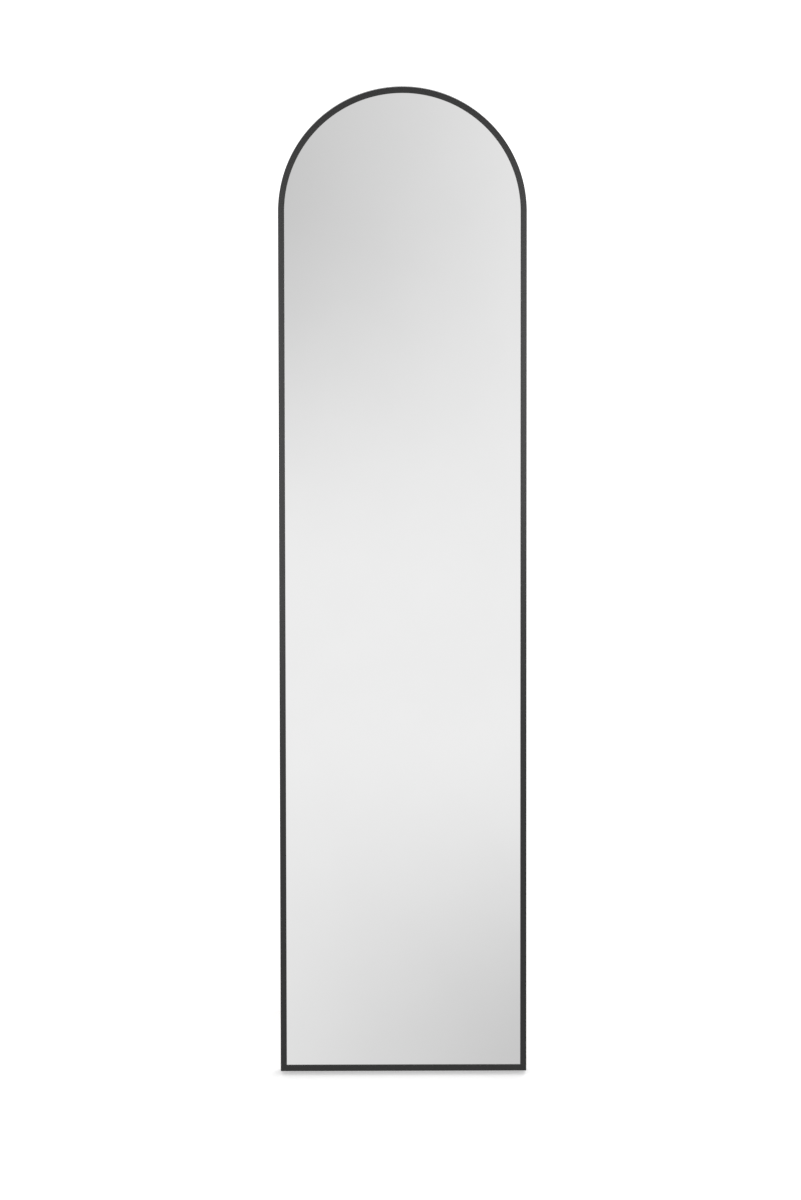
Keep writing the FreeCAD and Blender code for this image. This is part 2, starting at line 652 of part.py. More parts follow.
def bent_tube(radius):
    """Round bar of one radius along the stand: down one leg, along the crossbar and up the other."""
    corner = BEND_RADIUS * (1 - math.sqrt(0.5))
    knee_z = BAR_Z + BEND_RADIUS
    knee_x = LEG_X - BEND_RADIUS
    left_top = point(-LEG_X, PIVOT_Y, NECK_LOW_Z)
    left_knee = point(-LEG_X, PIVOT_Y, knee_z)
    left_bend = point(corner - LEG_X, PIVOT_Y, BAR_Z + corner)
    left_bar = point(-knee_x, PIVOT_Y, BAR_Z)
    right_bar = point(knee_x, PIVOT_Y, BAR_Z)
    right_bend = point(LEG_X - corner, PIVOT_Y, BAR_Z + corner)
    right_knee = point(LEG_X, PIVOT_Y, knee_z)
    right_top = point(LEG_X, PIVOT_Y, NECK_LOW_Z)
    route = Part.Wire([
        Part.makeLine(left_top, left_knee),
        Part.Arc(left_knee, left_bend, left_bar).toShape(),
        Part.makeLine(left_bar, right_bar),
        Part.Arc(right_bar, right_bend, right_knee).toShape(),
        Part.makeLine(right_knee, right_top),
    ])
    section = Part.Wire([Part.makeCircle(radius, left_top, Z_AXIS)])
    return route.makePipeShell([section], True, False)


def neck_section(share):
    """Section of the right neck, from the round tube at share 0 to the flat lug at share 1."""
    ease = share * share * (3 - 2 * share)
    round_corner = TUBE_RADIUS * math.sqrt(0.5)
    half_thick = round_corner + (LUG_THICKNESS / 2 - round_corner) * ease
    half_wide = round_corner + (LUG_WIDTH / 2 - round_corner) * ease
    crown_thick = TUBE_RADIUS + (LUG_THICKNESS / 2 - TUBE_RADIUS) * ease
    crown_wide = TUBE_RADIUS + (LUG_WIDTH / 2 - TUBE_RADIUS) * ease
    middle_x = LUG_OUTER_X - crown_thick
    z = NECK_LOW_Z + NECK_LENGTH * share
    corners = [
        (half_thick, -half_wide),
        (half_thick, half_wide),
        (-half_thick, half_wide),
        (-half_thick, -half_wide),
    ]
    crowns = [(crown_thick, 0), (0, crown_wide), (-crown_thick, 0), (0, -crown_wide)]
    middle = point(middle_x, PIVOT_Y, z)
    edges = []
    for i, (crown_x, crown_y) in enumerate(crowns):
        start = middle + point(*corners[i], 0)
        end = middle + point(*corners[(i + 1) % len(corners)], 0)
        crown = middle + point(crown_x, crown_y, 0)
        if share < 1:
            edges.append(Part.Arc(start, crown, end).toShape())
        else:
            edges.append(Part.makeLine(start, end))
    return Part.Wire(edges)


def stand_end():
    """Right end of the stand: a neck that flattens the tube, then a lug with the pivot hole and stop face."""
    neck = Part.makeLoft([neck_section(i / NECK_STEPS) for i in range(NECK_STEPS + 1)], True, False)
    lug_corners = [
        (PIVOT_Y - LUG_WIDTH / 2, NECK_TOP_Z, 0),
        (PIVOT_Y + LUG_WIDTH / 2, NECK_TOP_Z, 0),
        (PIVOT_Y + LUG_WIDTH / 2, PIVOT_HEIGHT + LUG_TAIL, LUG_ROUND),
        (PIVOT_Y - LUG_WIDTH / 2, PIVOT_HEIGHT + LUG_TAIL, LUG_ROUND),
    ]

    def place(y, z):
        return point(LUG_INNER_X, y, z)

    lug = Part.Face(rounded_wire(lug_corners, place)).extrude(X_AXIS * LUG_THICKNESS)
    stop_y = TAB_BACK + STOP_GAP
    clear = LUG_WIDTH + LUG_TAIL
    ahead_of_stop = block(
        point(LUG_INNER_X - CUT_MARGIN, stop_y - clear, PIVOT_HEIGHT - LUG_BELOW),
        point(LUG_OUTER_X + CUT_MARGIN, stop_y, PIVOT_HEIGHT + clear),
    )
    folded_cut = ahead_of_stop.rotated(PIVOT, X_AXIS, -OPEN_ANGLE)
    hole_start = PIVOT + X_AXIS * (LUG_INNER_X - CUT_MARGIN)
    hole = rod(BOLT_DIAMETER / 2 + PIVOT_FIT, hole_start, PIVOT + X_AXIS * (LUG_OUTER_X + CUT_MARGIN))
    return neck.fuse(lug.cut([folded_cut, hole])).removeSplitter()


def stand_tube():
    """The folding stand: one bent steel tube, hollow between its two flattened ends."""
    tube = bent_tube(TUBE_RADIUS).cut(bent_tube(TUBE_RADIUS - TUBE_WALL))
    end = stand_end()
    return tube.fuse([end, mirrored(end)]).removeSplitter()


def stand_foot():
    """Right rubber sleeve on the crossbar, with a grooved sole for the floor."""
    sole = FOOT_SOLE_WIDTH / 2
    corners = [
        (-sole, -FOOT_STANDOFF, FOOT_SOLE_ROUND),
        (sole, -FOOT_STANDOFF, FOOT_SOLE_ROUND),
        (FOOT_RADIUS, -FOOT_SIDE_DROP, FOOT_SIDE_ROUND),
        (FOOT_RADIUS, FOOT_RADIUS, FOOT_RADIUS),
        (-FOOT_RADIUS, FOOT_RADIUS, FOOT_RADIUS),
        (-FOOT_RADIUS, -FOOT_SIDE_DROP, FOOT_SIDE_ROUND),
    ]
    start_x = FOOT_CENTRE_X - FOOT_LENGTH / 2

    def place(y, z):
        return point(start_x, PIVOT_Y + y, BAR_Z + z)

    sleeve = Part.Face(rounded_wire(corners, place)).extrude(X_AXIS * FOOT_LENGTH)
    rims = [edge for edge in sleeve.Edges if edge.BoundBox.XLength < LEAST_EDGE]
    sleeve = sleeve.makeChamfer(FOOT_END_CHAMFER, rims)
    bar = point(0, PIVOT_Y, BAR_Z)
    bore_start = bar + X_AXIS * (start_x - CUT_MARGIN)
    bore = rod(TUBE_RADIUS + FOOT_FIT, bore_start, bore_start + X_AXIS * (FOOT_LENGTH + 2 * CUT_MARGIN))
    tread_top = TREAD_DEPTH - FOOT_STANDOFF
    cuts = [bore]
    for middle in (-TREAD_SPREAD / 2, TREAD_SPREAD / 2):
        low = point(start_x - CUT_MARGIN, middle - TREAD_WIDTH / 2, -FOOT_STANDOFF - CUT_MARGIN)
        high = point(start_x + FOOT_LENGTH + CUT_MARGIN, middle + TREAD_WIDTH / 2, tread_top)
        cuts.append(block(bar + low, bar + high))
    return sleeve.cut(cuts).rotated(bar, X_AXIS, -STAND_SLOPE)


def upright_pieces():
    """Every piece by name, with the frame upright and the stand open."""
    pieces = {
        "frame_arch": frame_arch(),
        "frame_bottom_rail": frame_bottom_rail(),
        "mirror_glass": mirror_glass(),
        "bedding_tape": bedding_tape(),
        "safety_film": layer(LAYER_INSET, FILM_FRONT, FILM_THICKNESS),
        "cushion_sheet": layer(LAYER_INSET, CUSHION_FRONT, CUSHION_THICKNESS),
        "back_panel": layer(LAYER_INSET, PANEL_FRONT, PANEL_THICKNESS),
        "setting_blocks": setting_blocks(),
        "corner_screws": corner_screws(),
        "wall_bumpers": wall_bumpers(),
        "hanger_screws": hanger_screws(),
        "bracket_screws": bracket_screws(),
        "pivot_washers": pivot_washers(),
        "stand_tube": stand_tube(),
    }
    paired = {
        "frame_foot": frame_foot(),
        "wall_hanger": wall_hanger(),
        "hinge_bracket": hinge_bracket(),
        "hinge_backing_bar": hinge_backing_bar(),
        "pivot_bolt": pivot_bolt(),
        "pivot_nut": pivot_nut(),
        "stand_foot": stand_foot(),
    }
    for name, right in paired.items():
        pieces[name + "_left"] = mirrored(right)
        pieces[name + "_right"] = right
    key = corner_key()
    pieces["corner_key_left"] = key
    pieces["corner_key_right"] = mirrored(key)
    for name in ("stand_tube", "stand_foot_left", "stand_foot_right"):
        pieces[name] = pieces[name].rotated(PIVOT, X_AXIS, OPEN_ANGLE)
    return pieces


def floor_placement(pieces):
    """Placement that leans the upright mirror back, on the floor, with its plan centred on the origin."""
    lean = FreeCAD.Placement(ORIGIN, FreeCAD.Rotation(X_AXIS, -LEAN_ANGLE))
    heel = lean.multVec(point(0, HEEL_Y, HEEL_Z))
    leaned = []
    for shape in pieces.values():
        leaned.append(shape.rotated(ORIGIN, X_AXIS, -LEAN_ANGLE))
    box = Part.makeCompound(leaned).optimalBoundingBox(False)
    return FreeCAD.Placement(point(0, -box.Center.y, -heel.z), lean.Rotation)


def main():
    """Build every piece where it stands and write one file for each."""
    os.makedirs("parts", exist_ok=True)
    pieces = upright_pieces()
    placement = floor_placement(pieces)
    for name, shape in pieces.items():
        shape.Placement = placement.multiply(shape.Placement)
        shape.exportStep(f"parts/{name}.step")
    print(f"{len(pieces)} pieces, lean {LEAN_ANGLE:.3f}, stand slope {STAND_SLOPE:.3f}, leg {LEG_LENGTH:.2f}")


if __name__ == "__main__":
    main()
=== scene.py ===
"""Looks of an arched floor mirror: bent aluminium frame, silvered glass, hardboard back and folding stand.

Each piece is drawn upright in millimetres, X to the right, Y from the front face to the back and Z up from the
frame's bottom edge, with the stand folded. The stance then carries it to where the mirror stands, in metres.
"""

import json
import logging
import math
from abc import ABC, abstractmethod
from dataclasses import dataclass
from enum import Enum
from typing import Iterable, Sequence

import bmesh
import bpy
from bmesh.types import BMEdge, BMesh, BMVert
from bpy.types import ID, Material, Mesh, Node, NodeSocket, NodeTree, Object
from mathutils import Color, Matrix, Vector


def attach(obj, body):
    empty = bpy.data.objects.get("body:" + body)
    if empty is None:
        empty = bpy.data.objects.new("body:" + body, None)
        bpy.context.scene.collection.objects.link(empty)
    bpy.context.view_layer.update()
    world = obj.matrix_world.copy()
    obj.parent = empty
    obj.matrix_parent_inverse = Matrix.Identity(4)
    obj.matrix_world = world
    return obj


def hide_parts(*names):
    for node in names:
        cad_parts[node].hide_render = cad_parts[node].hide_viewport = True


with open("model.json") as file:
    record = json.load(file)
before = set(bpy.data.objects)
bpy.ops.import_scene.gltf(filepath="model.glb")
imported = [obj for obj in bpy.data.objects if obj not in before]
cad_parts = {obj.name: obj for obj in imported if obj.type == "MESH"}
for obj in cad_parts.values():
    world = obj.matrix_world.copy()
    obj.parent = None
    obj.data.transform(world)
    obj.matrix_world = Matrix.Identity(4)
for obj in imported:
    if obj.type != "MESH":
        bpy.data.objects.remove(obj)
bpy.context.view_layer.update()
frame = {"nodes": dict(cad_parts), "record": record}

LOG = logging.getLogger("floor_mirror")
MM = 0.001
MERGE_MM = 1e-4
SHARP_ANGLE = math.radians(35)
FLAT_ANGLE = math.radians(0.5)
QUARTER_TURN = math.pi / 2
ROUND_STEPS = 4
EASE_STEPS = 2
X_AXIS = Vector((1, 0, 0))
Y_AXIS = Vector((0, 1, 0))
Z_AXIS = Vector((0, 0, 1))
# Stands a circle or a sheet that is drawn flat upright, so that it faces along Y
ALONG_Y = Matrix.Rotation(QUARTER_TURN, 4, "X")
HEX_SIDES = 6
# Corner of a six-sided bar from its middle, as a share of the width over its flats
HEX_CORNER = 0.5 / math.cos(math.pi / HEX_SIDES)

# Length of one wave of a pattern whose scale is 1
WAVE_LENGTH = math.tau / 20
# Sockets of the colour form of a Mix node, which share their names with its other forms
MIX_FACTOR = 0
MIX_A = 6
MIX_B = 7
WHITE = (1, 1, 1, 1)

Colour = tuple[float, float, float, float]
Pair = tuple[float, float]
Triple = tuple[float, float, float]
Inputs = dict[str | int, object] | Sequence[object]
Seats = list[tuple[Vector, float]]


class Body(Enum):
    """The two bodies that the stand's hinge joins."""

    MIRROR = "mirror"
    STAND = "stand"


class Side(Enum):
    """Left and right of the mirror's middle plane, as signs of X."""

    LEFT = -1
    RIGHT = 1

    @property
    def word(self) -> str:
        """The side's name, as the nodes spell it."""
        return self.name.lower()


class Slot(Enum):
    """The record's material slots."""

    BLACK_ALUMINIUM = "black_aluminium"
    SILVERED_GLASS = "silvered_glass"
    FOAM_TAPE = "foam_tape"
    BACKING_FILM = "backing_film"
    CORRUGATED_BOARD = "corrugated_board"
    HARDBOARD = "hardboard"
    BLACK_RUBBER = "black_rubber"
    CAST_KEY = "cast_key"
    ZINC_STEEL = "zinc_steel"
    BLACK_STEEL = "black_steel"
    NYLON = "nylon"


class Texture(Enum):
    """Textures that the finishes are made of."""

    CLOUDS = "TexNoise"
    WAVES = "TexWave"


def linear(hex_colour: str) -> Colour:
    """Turn an sRGB hex colour, such as "#1e1f20", into linear light with full alpha."""
    shares = [byte / 255 for byte in bytes.fromhex(hex_colour[1:])]
    return (*Color(shares).from_srgb_to_scene_linear(), 1.0)


def wire(tree: NodeTree, node: Node, inputs: Inputs) -> None:
    """Set or link the inputs of a node.

    Args:
        tree: Node tree that the node is in.
        node: The node.
        inputs: Values, sockets or nodes, by the names or places of the inputs or in their order. A node stands for
            the first of its outputs that is in use.
    """
    for key, value in inputs.items() if isinstance(inputs, dict) else enumerate(inputs):
        if isinstance(value, Node):
            value = next(socket for socket in value.outputs if socket.enabled)
        if isinstance(value, NodeSocket):
            tree.links.new(value, node.inputs[key])
        else:
            node.inputs[key].default_value = value


def add_node(tree: NodeTree, kind: str, inputs: Inputs = (), **settings: object) -> Node:
    """Add a node with its settings and links.

    Args:
        tree: Node tree that the node joins.
        kind: Name of the shader node's type.
        inputs: What its inputs are set or linked to.
        **settings: Properties of the node itself.

    Returns:
        The new node.
    """
    node = tree.nodes.new(f"ShaderNode{kind}")
    for key, value in settings.items():
        setattr(node, key, value)
    wire(tree, node, inputs)
    return node


def pattern(
    tree: NodeTree, kind: Texture, size_mm: float, detail: float = 0, stretch: Triple = (1, 1, 1),
    lean: float = 0.0, **settings: object,
) -> NodeSocket:
    """Lay a pattern of a real size in the object's own space.

    Args:
        tree: Node tree that the pattern joins.
        kind: Its texture.
        size_mm: Size of one repeat.
        detail: How many finer layers lie on it.
        stretch: Length of a repeat along each axis, as a multiple of its size.
        lean: Angle about X that stands the pattern upright on a leaning piece.
        **settings: Properties of the texture itself.

    Returns:
        Socket with the pattern's value from 0 to 1.
    """
    coords = add_node(tree, "TexCoord").outputs["Object"]
    shrink = [1 / length for length in stretch]
    place = add_node(tree, "Mapping", {"Vector": coords, "Rotation": (lean, 0, 0), "Scale": shrink})
    inputs = {"Vector": place, "Scale": 1 / (size_mm * MM), "Detail": detail}
    return add_node(tree, kind.value, inputs, **settings).outputs["Fac"]


@dataclass(frozen=True)
class Finish:
    """A material of the real object, named for what it is and how its surface was made.

    Clouds carry its colour and its gloss from one end of their ranges to the other, and a relief raises it.
    """

    name: str
    slot: Slot
    colours: tuple[str, str]
    roughness: Pair
    cloud_mm: float
    relief_mm: float
    relief_depth_mm: float
    cloud_detail: int = 4
    relief_detail: int = 2
    relief_stretch: Triple = (1, 1, 1)
    metallic: float = 0.0
    shine: float = 0.5
    glow: float = 0.0

    def tint(self, tree: NodeTree, clouds: NodeSocket) -> Node:
        """Colour that the clouds carry from one end of its range to the other."""
        low, high = (linear(colour) for colour in self.colours)
        return add_node(tree, "Mix", {MIX_FACTOR: clouds, MIX_A: low, MIX_B: high}, data_type="RGBA")

    def relief(self, tree: NodeTree) -> NodeSocket:
        """Pattern that raises the surface."""
        return pattern(tree, Texture.CLOUDS, self.relief_mm, self.relief_detail, self.relief_stretch)

    def material(self) -> Material:
        """Make the finish's material, once.

        Returns:
            The material.
        """
        made = bpy.data.materials.get(self.name)
        if made is not None:
            return made
        made = bpy.data.materials.new(self.name)
        made.use_nodes = True
        tree = made.node_tree
        clouds = pattern(tree, Texture.CLOUDS, self.cloud_mm, self.cloud_detail)
        rough, rougher = self.roughness
        gloss = add_node(tree, "MapRange", {"Value": clouds, "To Min": rough, "To Max": rougher})
        depth = self.relief_depth_mm * MM
        raised = add_node(tree, "Bump", {"Height": self.relief(tree), "Distance": depth})
        skin = {"Base Color": self.tint(tree, clouds), "Roughness": gloss, "Normal": raised}
        bulk = {"Metallic": self.metallic, "Subsurface Weight": self.glow, "Subsurface Scale": MM}
        shader = tree.nodes["Principled BSDF"]
        wire(tree, shader, skin | bulk | {"Specular IOR Level": self.shine})
        return made


@dataclass(frozen=True, kw_only=True)
class PressedBoard(Finish):
    """Hardboard pressed wet from wood fibre on a wire screen: brown, mottled and flecked, with a faint mesh."""

    lean: float
    fibre_colour: str
    fibre_mm: float
    fibre_length: float
    fibre_detail: int = 3
    fibre_range: Pair = (0.52, 0.74)
    fibre_cover: float = 0.45

    def tint(self, tree: NodeTree, clouds: NodeSocket) -> Node:
        """Lay darker fibres on the mottled brown.

        Args:
            tree: Node tree of the material.
            clouds: The mottle.

        Returns:
            Node with the colour.
        """
        strands = pattern(tree, Texture.CLOUDS, self.fibre_mm, self.fibre_detail, (self.fibre_length, 1, 1))
        cover = add_node(tree, "MapRange", (strands, *self.fibre_range, 0.0, self.fibre_cover))
        layers = {MIX_FACTOR: cover, MIX_A: super().tint(tree, clouds), MIX_B: linear(self.fibre_colour)}
        return add_node(tree, "Mix", layers, data_type="RGBA")

    def relief(self, tree: NodeTree) -> NodeSocket:
        """Print the wire screen, two sets of ridges across each other.

        Args:
            tree: Node tree of the material.

        Returns:
            Socket with the print's height.
        """
        pitch = self.relief_mm / WAVE_LENGTH
        wires = [
            pattern(tree, Texture.WAVES, pitch, lean=self.lean, bands_direction=across) for across in ("X", "Z")
        ]
        return add_node(tree, "Math", wires, operation="MULTIPLY").outputs["Value"]


@dataclass(frozen=True)
class FlutedBoard(Finish):
    """Kraft corrugated board: brown paper with the flutes showing faintly through its face."""

    def relief(self, tree: NodeTree) -> NodeSocket:
        """Flutes that run up the board."""
        return pattern(tree, Texture.WAVES, self.relief_mm / WAVE_LENGTH, bands_direction="X")


@dataclass(frozen=True)
class Stance:
    """How the mirror leans and where its hinge stands, read from the frame."""

    lean: float
    open_angle: float
    hinge: Vector
    hinge_depth: float = 23.0
    hinge_height: float = 1050.0

    @classmethod
    def from_frame(cls, record: dict) -> "Stance":
        """Read the lean from the wall hangers' axis and the hinge from the stand's joint.

        Args:
            record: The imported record.

        Returns:
            The stance.
        """
        hanger = next(mount for mount in record["mounts"] if mount["name"] == "keyhole_left")
        joint = next(joint for joint in record["behaviour"]["joints"] if joint["name"] == "stand_fold")
        axis = Vector(hanger["axis"])
        opened = math.radians(joint["range_deg"][1])
        return cls(math.atan2(-axis.z, axis.y), opened, Vector(joint["pos_m"]))

    @property
    def drawn_hinge(self) -> Vector:
        """Middle of the hinge in the upright drawing."""
        return Vector((0, self.hinge_depth, self.hinge_height))

    def of(self, body: Body) -> Matrix:
        """Matrix from a body's drawing, in millimetres, to where it stands, in metres."""
        lean = Matrix.Rotation(self.open_angle - self.lean if body is Body.STAND else -self.lean, 4, "X")
        return Matrix.Translation(self.hinge) @ lean @ Matrix.Scale(MM, 4) @ Matrix.Translation(-self.drawn_hinge)


def only(kind: type, made: Iterable) -> list:
    """Pick the vertices or the edges out of what an operator made."""
    return [item for item in made if isinstance(item, kind)]


def outline(corners: Iterable[tuple[Vector, float]], segments: int = ROUND_STEPS) -> BMesh:
    """Draw a closed outline with rounded corners.

    Args:
        corners: Corners in order, each with its rounding, or with 0 where it stays sharp.
        segments: Steps in each rounding.

    Returns:
        Drawing that holds the outline's edges alone.
    """
    bm = bmesh.new()
    rounds = [(bm.verts.new(point), rounding) for point, rounding in corners]
    bm.faces.new([vert for vert, _ in rounds])
    for radius in sorted({rounding for _, rounding in rounds if rounding > 0}):
        picked = [vert for vert, rounding in rounds if rounding == radius]
        bmesh.ops.bevel(
            bm, geom=picked, offset=radius, offset_type="OFFSET", segments=segments, profile=0.5,
            affect="VERTICES", material=-1,
        )
    bmesh.ops.delete(bm, geom=bm.faces[:], context="FACES_ONLY")
    return bm


def carry(
    bm: BMesh, loop: list[BMEdge], steps: int = 1, travel: Sequence[float] = (0, 0, 0), angle: float = 0.0,
    centre: Sequence[float] = (0, 0, 0),
) -> list[BMEdge]:
    """Carry an open loop on, by a travel at each step or round a bend about Y, and return its far edges."""
    made = bmesh.ops.spin(bm, geom=loop, cent=centre, axis=Y_AXIS, dvec=travel, angle=angle, steps=steps)
    return only(BMEdge, made["geom_last"])


def slice_off(bm: BMesh, spot: Vector, outward: Vector) -> None:
    """Cut a mesh at a plane, drop what lies on the outward side and close the cut.

    Args:
        bm: Mesh that is cut.
        spot: A point of the plane.
        outward: Direction in which nothing is left.
    """
    everything = [*bm.verts, *bm.edges, *bm.faces]
    made = bmesh.ops.bisect_plane(
        bm, geom=everything, dist=MERGE_MM, plane_co=spot, plane_no=outward, clear_outer=True
    )
    bmesh.ops.holes_fill(bm, edges=only(BMEdge, made["geom_cut"]), sides=0)


def thicken(bm: BMesh, travel: Vector) -> None:
    """Raise a flat drawing into a solid."""
    made = bmesh.ops.extrude_face_region(bm, geom=bm.faces[:])["geom"]
    bmesh.ops.translate(bm, vec=travel, verts=only(BMVert, made))


def lathe(profile: Iterable[Triple], steps: int) -> BMesh:
    """Turn a profile about the Y axis.

    Args:
        profile: Corners (radius, height along Y, rounding) in order, starting and ending on the axis.
        steps: Steps round the axis.

    Returns:
        The turned solid, closed.
    """
    bm = outline((Vector((radius, height, 0)), rounding) for radius, height, rounding in profile)
    bmesh.ops.spin(bm, geom=bm.edges[:], axis=Y_AXIS, angle=math.tau, steps=steps, use_merge=True)
    bmesh.ops.remove_doubles(bm, verts=bm.verts, dist=MERGE_MM)
    on_axis = [edge for edge in bm.edges if all(math.hypot(v.co.x, v.co.z) < MERGE_MM for v in edge.verts)]
    bmesh.ops.delete(bm, geom=on_axis, context="EDGES")
    bmesh.ops.recalc_face_normals(bm, faces=bm.faces)
    return bm


def bar(radius: float, segments: int, start: float, length: float, bore: float = 0.0) -> BMesh:
    """Make a round or many-sided bar along Y.

    Args:
        radius: From its middle to its corners.
        segments: How many sides it has.
        start: Where it starts along Y.
        length: How long it is.
        bore: Radius of the hole through it, or 0 for none.

    Returns:
        The bar.
    """
    bm = bmesh.new()
    place = Matrix.Translation(Y_AXIS * start) @ ALONG_Y
    bmesh.ops.create_circle(bm, cap_ends=not bore, segments=segments, radius=radius, matrix=place)
    if bore:
        bmesh.ops.create_circle(bm, cap_ends=False, segments=segments, radius=bore, matrix=place)
        bmesh.ops.bridge_loops(bm, edges=bm.edges)
    thicken(bm, Y_AXIS * length)
    return bm


def as_mesh(bm: BMesh, name: str) -> Mesh:
    """Turn a drawing into a mesh.

    Args:
        bm: The drawing, used up here.
        name: Name of the mesh.

    Returns:
        The mesh.
    """
    mesh = bpy.data.meshes.new(name)
    bm.to_mesh(mesh)
    bm.free()
    return mesh


def set_out(name: str, data: ID) -> Object:
    """Put a mesh, a camera or a lamp into the scene.

    Args:
        name: Name of the object.
        data: What it shows.

    Returns:
        The object.
    """
    placed = bpy.data.objects.new(name, data)
    bpy.context.scene.collection.objects.link(placed)
    return placed


def carved(solid: BMesh, cutter: BMesh) -> Mesh:
    """Cut one solid out of another.

    Args:
        solid: Drawing that is cut, used up here.
        cutter: Drawing that is taken away, used up here.

    Returns:
        The mesh that is left.
    """
    blanks = []
    for source in (solid, cutter):
        bmesh.ops.recalc_face_normals(source, faces=source.faces)
        blanks.append(set_out("blank", as_mesh(source, "blank")))
    cut = blanks[0].modifiers.new("cut", "BOOLEAN")
    cut.object = blanks[1]
    cut.operation = "DIFFERENCE"
    cut.solver = "EXACT"
    graph = bpy.context.evaluated_depsgraph_get()
    left = bpy.data.meshes.new_from_object(blanks[0].evaluated_get(graph))
    for mesh in [blank.data for blank in blanks]:
        bpy.data.meshes.remove(mesh)
    return left


def gathered(template: Mesh, places: Iterable[Matrix]) -> BMesh:
    """Set copies of one mesh at several places.

    Args:
        template: The mesh.
        places: Where its copies go.

    Returns:
        All copies in one drawing.
    """
    bm = bmesh.new()
    for place in places:
        before = len(bm.verts)
        bm.from_mesh(template)
        bmesh.ops.transform(bm, matrix=place, verts=bm.verts[before:])
    return bm


@dataclass(frozen=True)
class Extrusion:
    """The frame's outline and the section that it is bent from."""

    width: float = 400.0
    height: float = 1600.0
    depth: float = 30.0
    face: float = 10.0
    lip: float = 1.5
    wall: float = 1.5
    pack_back: float = 13.5
    face_round: float = 0.8
    lip_round: float = 0.4
    back_round: float = 0.8
    mitre_gap: float = 0.1
    screw_line: float = 5.0
    arch_steps: int = 128

    @property
    def half(self) -> float:
        """Half of the frame's width, which is also the radius of its round top."""
        return self.width / 2

    @property
    def spring(self) -> float:
        """Height at which the stiles turn into the arch."""
        return self.height - self.half

    def section(self, inward: Vector) -> BMesh:
        """Draw the section at the left bottom corner: a front lip, a groove for the glass pack and a box behind it.

        Args:
            inward: Direction from the frame's outer edge to the glass.

        Returns:
            Drawing that holds the section's edges.
        """
        corners = (
            (0, 0, self.face_round), (self.face, 0, self.lip_round), (self.face, self.lip, self.lip_round),
            (self.wall, self.lip, 0), (self.wall, self.pack_back, 0), (self.face, self.pack_back, self.lip_round),
            (self.face, self.depth, self.back_round), (0, self.depth, self.back_round),
        )
        outer = X_AXIS * -self.half
        return outline((outer + inward * reach + Y_AXIS * depth, rounding) for reach, depth, rounding in corners)

    def stile_seats(self, raised: float, height: float, pitch: float, turns: Pair) -> Seats:
        """Set out two screws, one above the other, on the back of each stile.

        Args:
            raised: How far their seats stand off the stile.
            height: Height of the middle between them.
            pitch: Distance between them.
            turns: Angles at which they stop, before each stile's own turn is added.

        Returns:
            Each screw's seat and turn.
        """
        seats = []
        for side in Side:
            for step, turn in zip((-0.5, 0.5), turns):
                across = side.value * (self.half - self.screw_line)
                seat = Vector((across, self.depth + raised, height + step * pitch))
                seats.append((seat, turn + side.value))
        return seats


@dataclass(frozen=True)
class SubAssembly(ABC):
    """Pieces that belong together, built to the frame's sizes and carried to where the mirror stands."""

    stance: Stance
    extrusion: Extrusion

    @abstractmethod
    def build(self) -> None:
        """Build or dress all of its pieces."""

    def fit(
        self, bm: BMesh, name: str, node: str, *finishes: Finish, body: Body = Body.MIRROR, ease_mm: float = 0.0,
    ) -> None:
        """Turn an upright drawing into a piece of the object.

        Args:
            bm: The drawing, used up here.
            name: Name of the piece.
            node: CAD node that the piece stands for.
            *finishes: Finishes by material number.
            body: Body that the piece rides on.
            ease_mm: Width by which sharp edges are eased, or 0 to leave them.
        """
        bmesh.ops.remove_doubles(bm, verts=bm.verts, dist=MERGE_MM)
        bmesh.ops.recalc_face_normals(bm, faces=bm.faces)
        bm.transform(self.stance.of(body))
        mesh = as_mesh(bm, name)
        for finish in finishes:
            mesh.materials.append(finish.material())
        mesh.shade_smooth()
        mesh.set_sharp_from_angle(angle=SHARP_ANGLE)
        piece = set_out(name, mesh)
        if ease_mm > 0:
            ease = piece.modifiers.new("eased_edges", "BEVEL")
            ease.width = ease_mm * MM
            ease.segments = EASE_STEPS
            ease.limit_method = "ANGLE"
            ease.angle_limit = SHARP_ANGLE
        flat = piece.modifiers.new("flat_faces", "WEIGHTED_NORMAL")
        flat.keep_sharp = True
        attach(piece, body.value)
        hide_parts(node)
        LOG.info("%s stands for %s on %s, %d faces", name, node, body.value, len(mesh.polygons))

    def ease_pair(self, node: str, name: str, finish: Finish, ease_mm: float) -> None:
        """Stand eased copies in for two CAD nodes of the mirror, whose shape is right but whose edges are raw.

        Args:
            node: Name of the CAD nodes, less their side.
            name: Name of the pieces, less their side.
            finish: Their finish.
            ease_mm: Width by which their edges are eased.
        """
        for side in Side:
            bm = bmesh.new()
            bm.from_mesh(frame["nodes"][f"{node}_{side.word}"].data)
            bmesh.ops.remove_doubles(bm, verts=bm.verts, dist=MERGE_MM * MM)
            bmesh.ops.dissolve_limit(bm, angle_limit=FLAT_ANGLE, verts=bm.verts, edges=bm.edges)
            bm.transform(self.stance.of(Body.MIRROR).inverted())
            self.fit(bm, f"{name}_{side.word}", f"{node}_{side.word}", finish, ease_mm=ease_mm)

    def dress(self, finish: Finish, *nodes: str) -> None:
        """Give CAD nodes that stay as they are a finish.

        Args:
            finish: The finish.
            *nodes: The CAD nodes.
        """
        for node in nodes:
            mesh = frame["nodes"][node].data
            mesh.materials.clear()
            mesh.materials.append(finish.material())
            LOG.info("%s keeps its own shape, in %s", node, finish.name)


STANCE = Stance.from_frame(frame["record"])

# Baked satin black on the extrusion: it reads charcoal where broad light lies on it, over a fine orange peel
FRAME_COAT = Finish(
    "powder_coated_aluminium", Slot.BLACK_ALUMINIUM, ("#171717", "#1d1d1d"), (0.20, 0.27), cloud_mm=5.0,
    relief_mm=0.9, relief_depth_mm=0.004, relief_detail=1, shine=0.40,
)
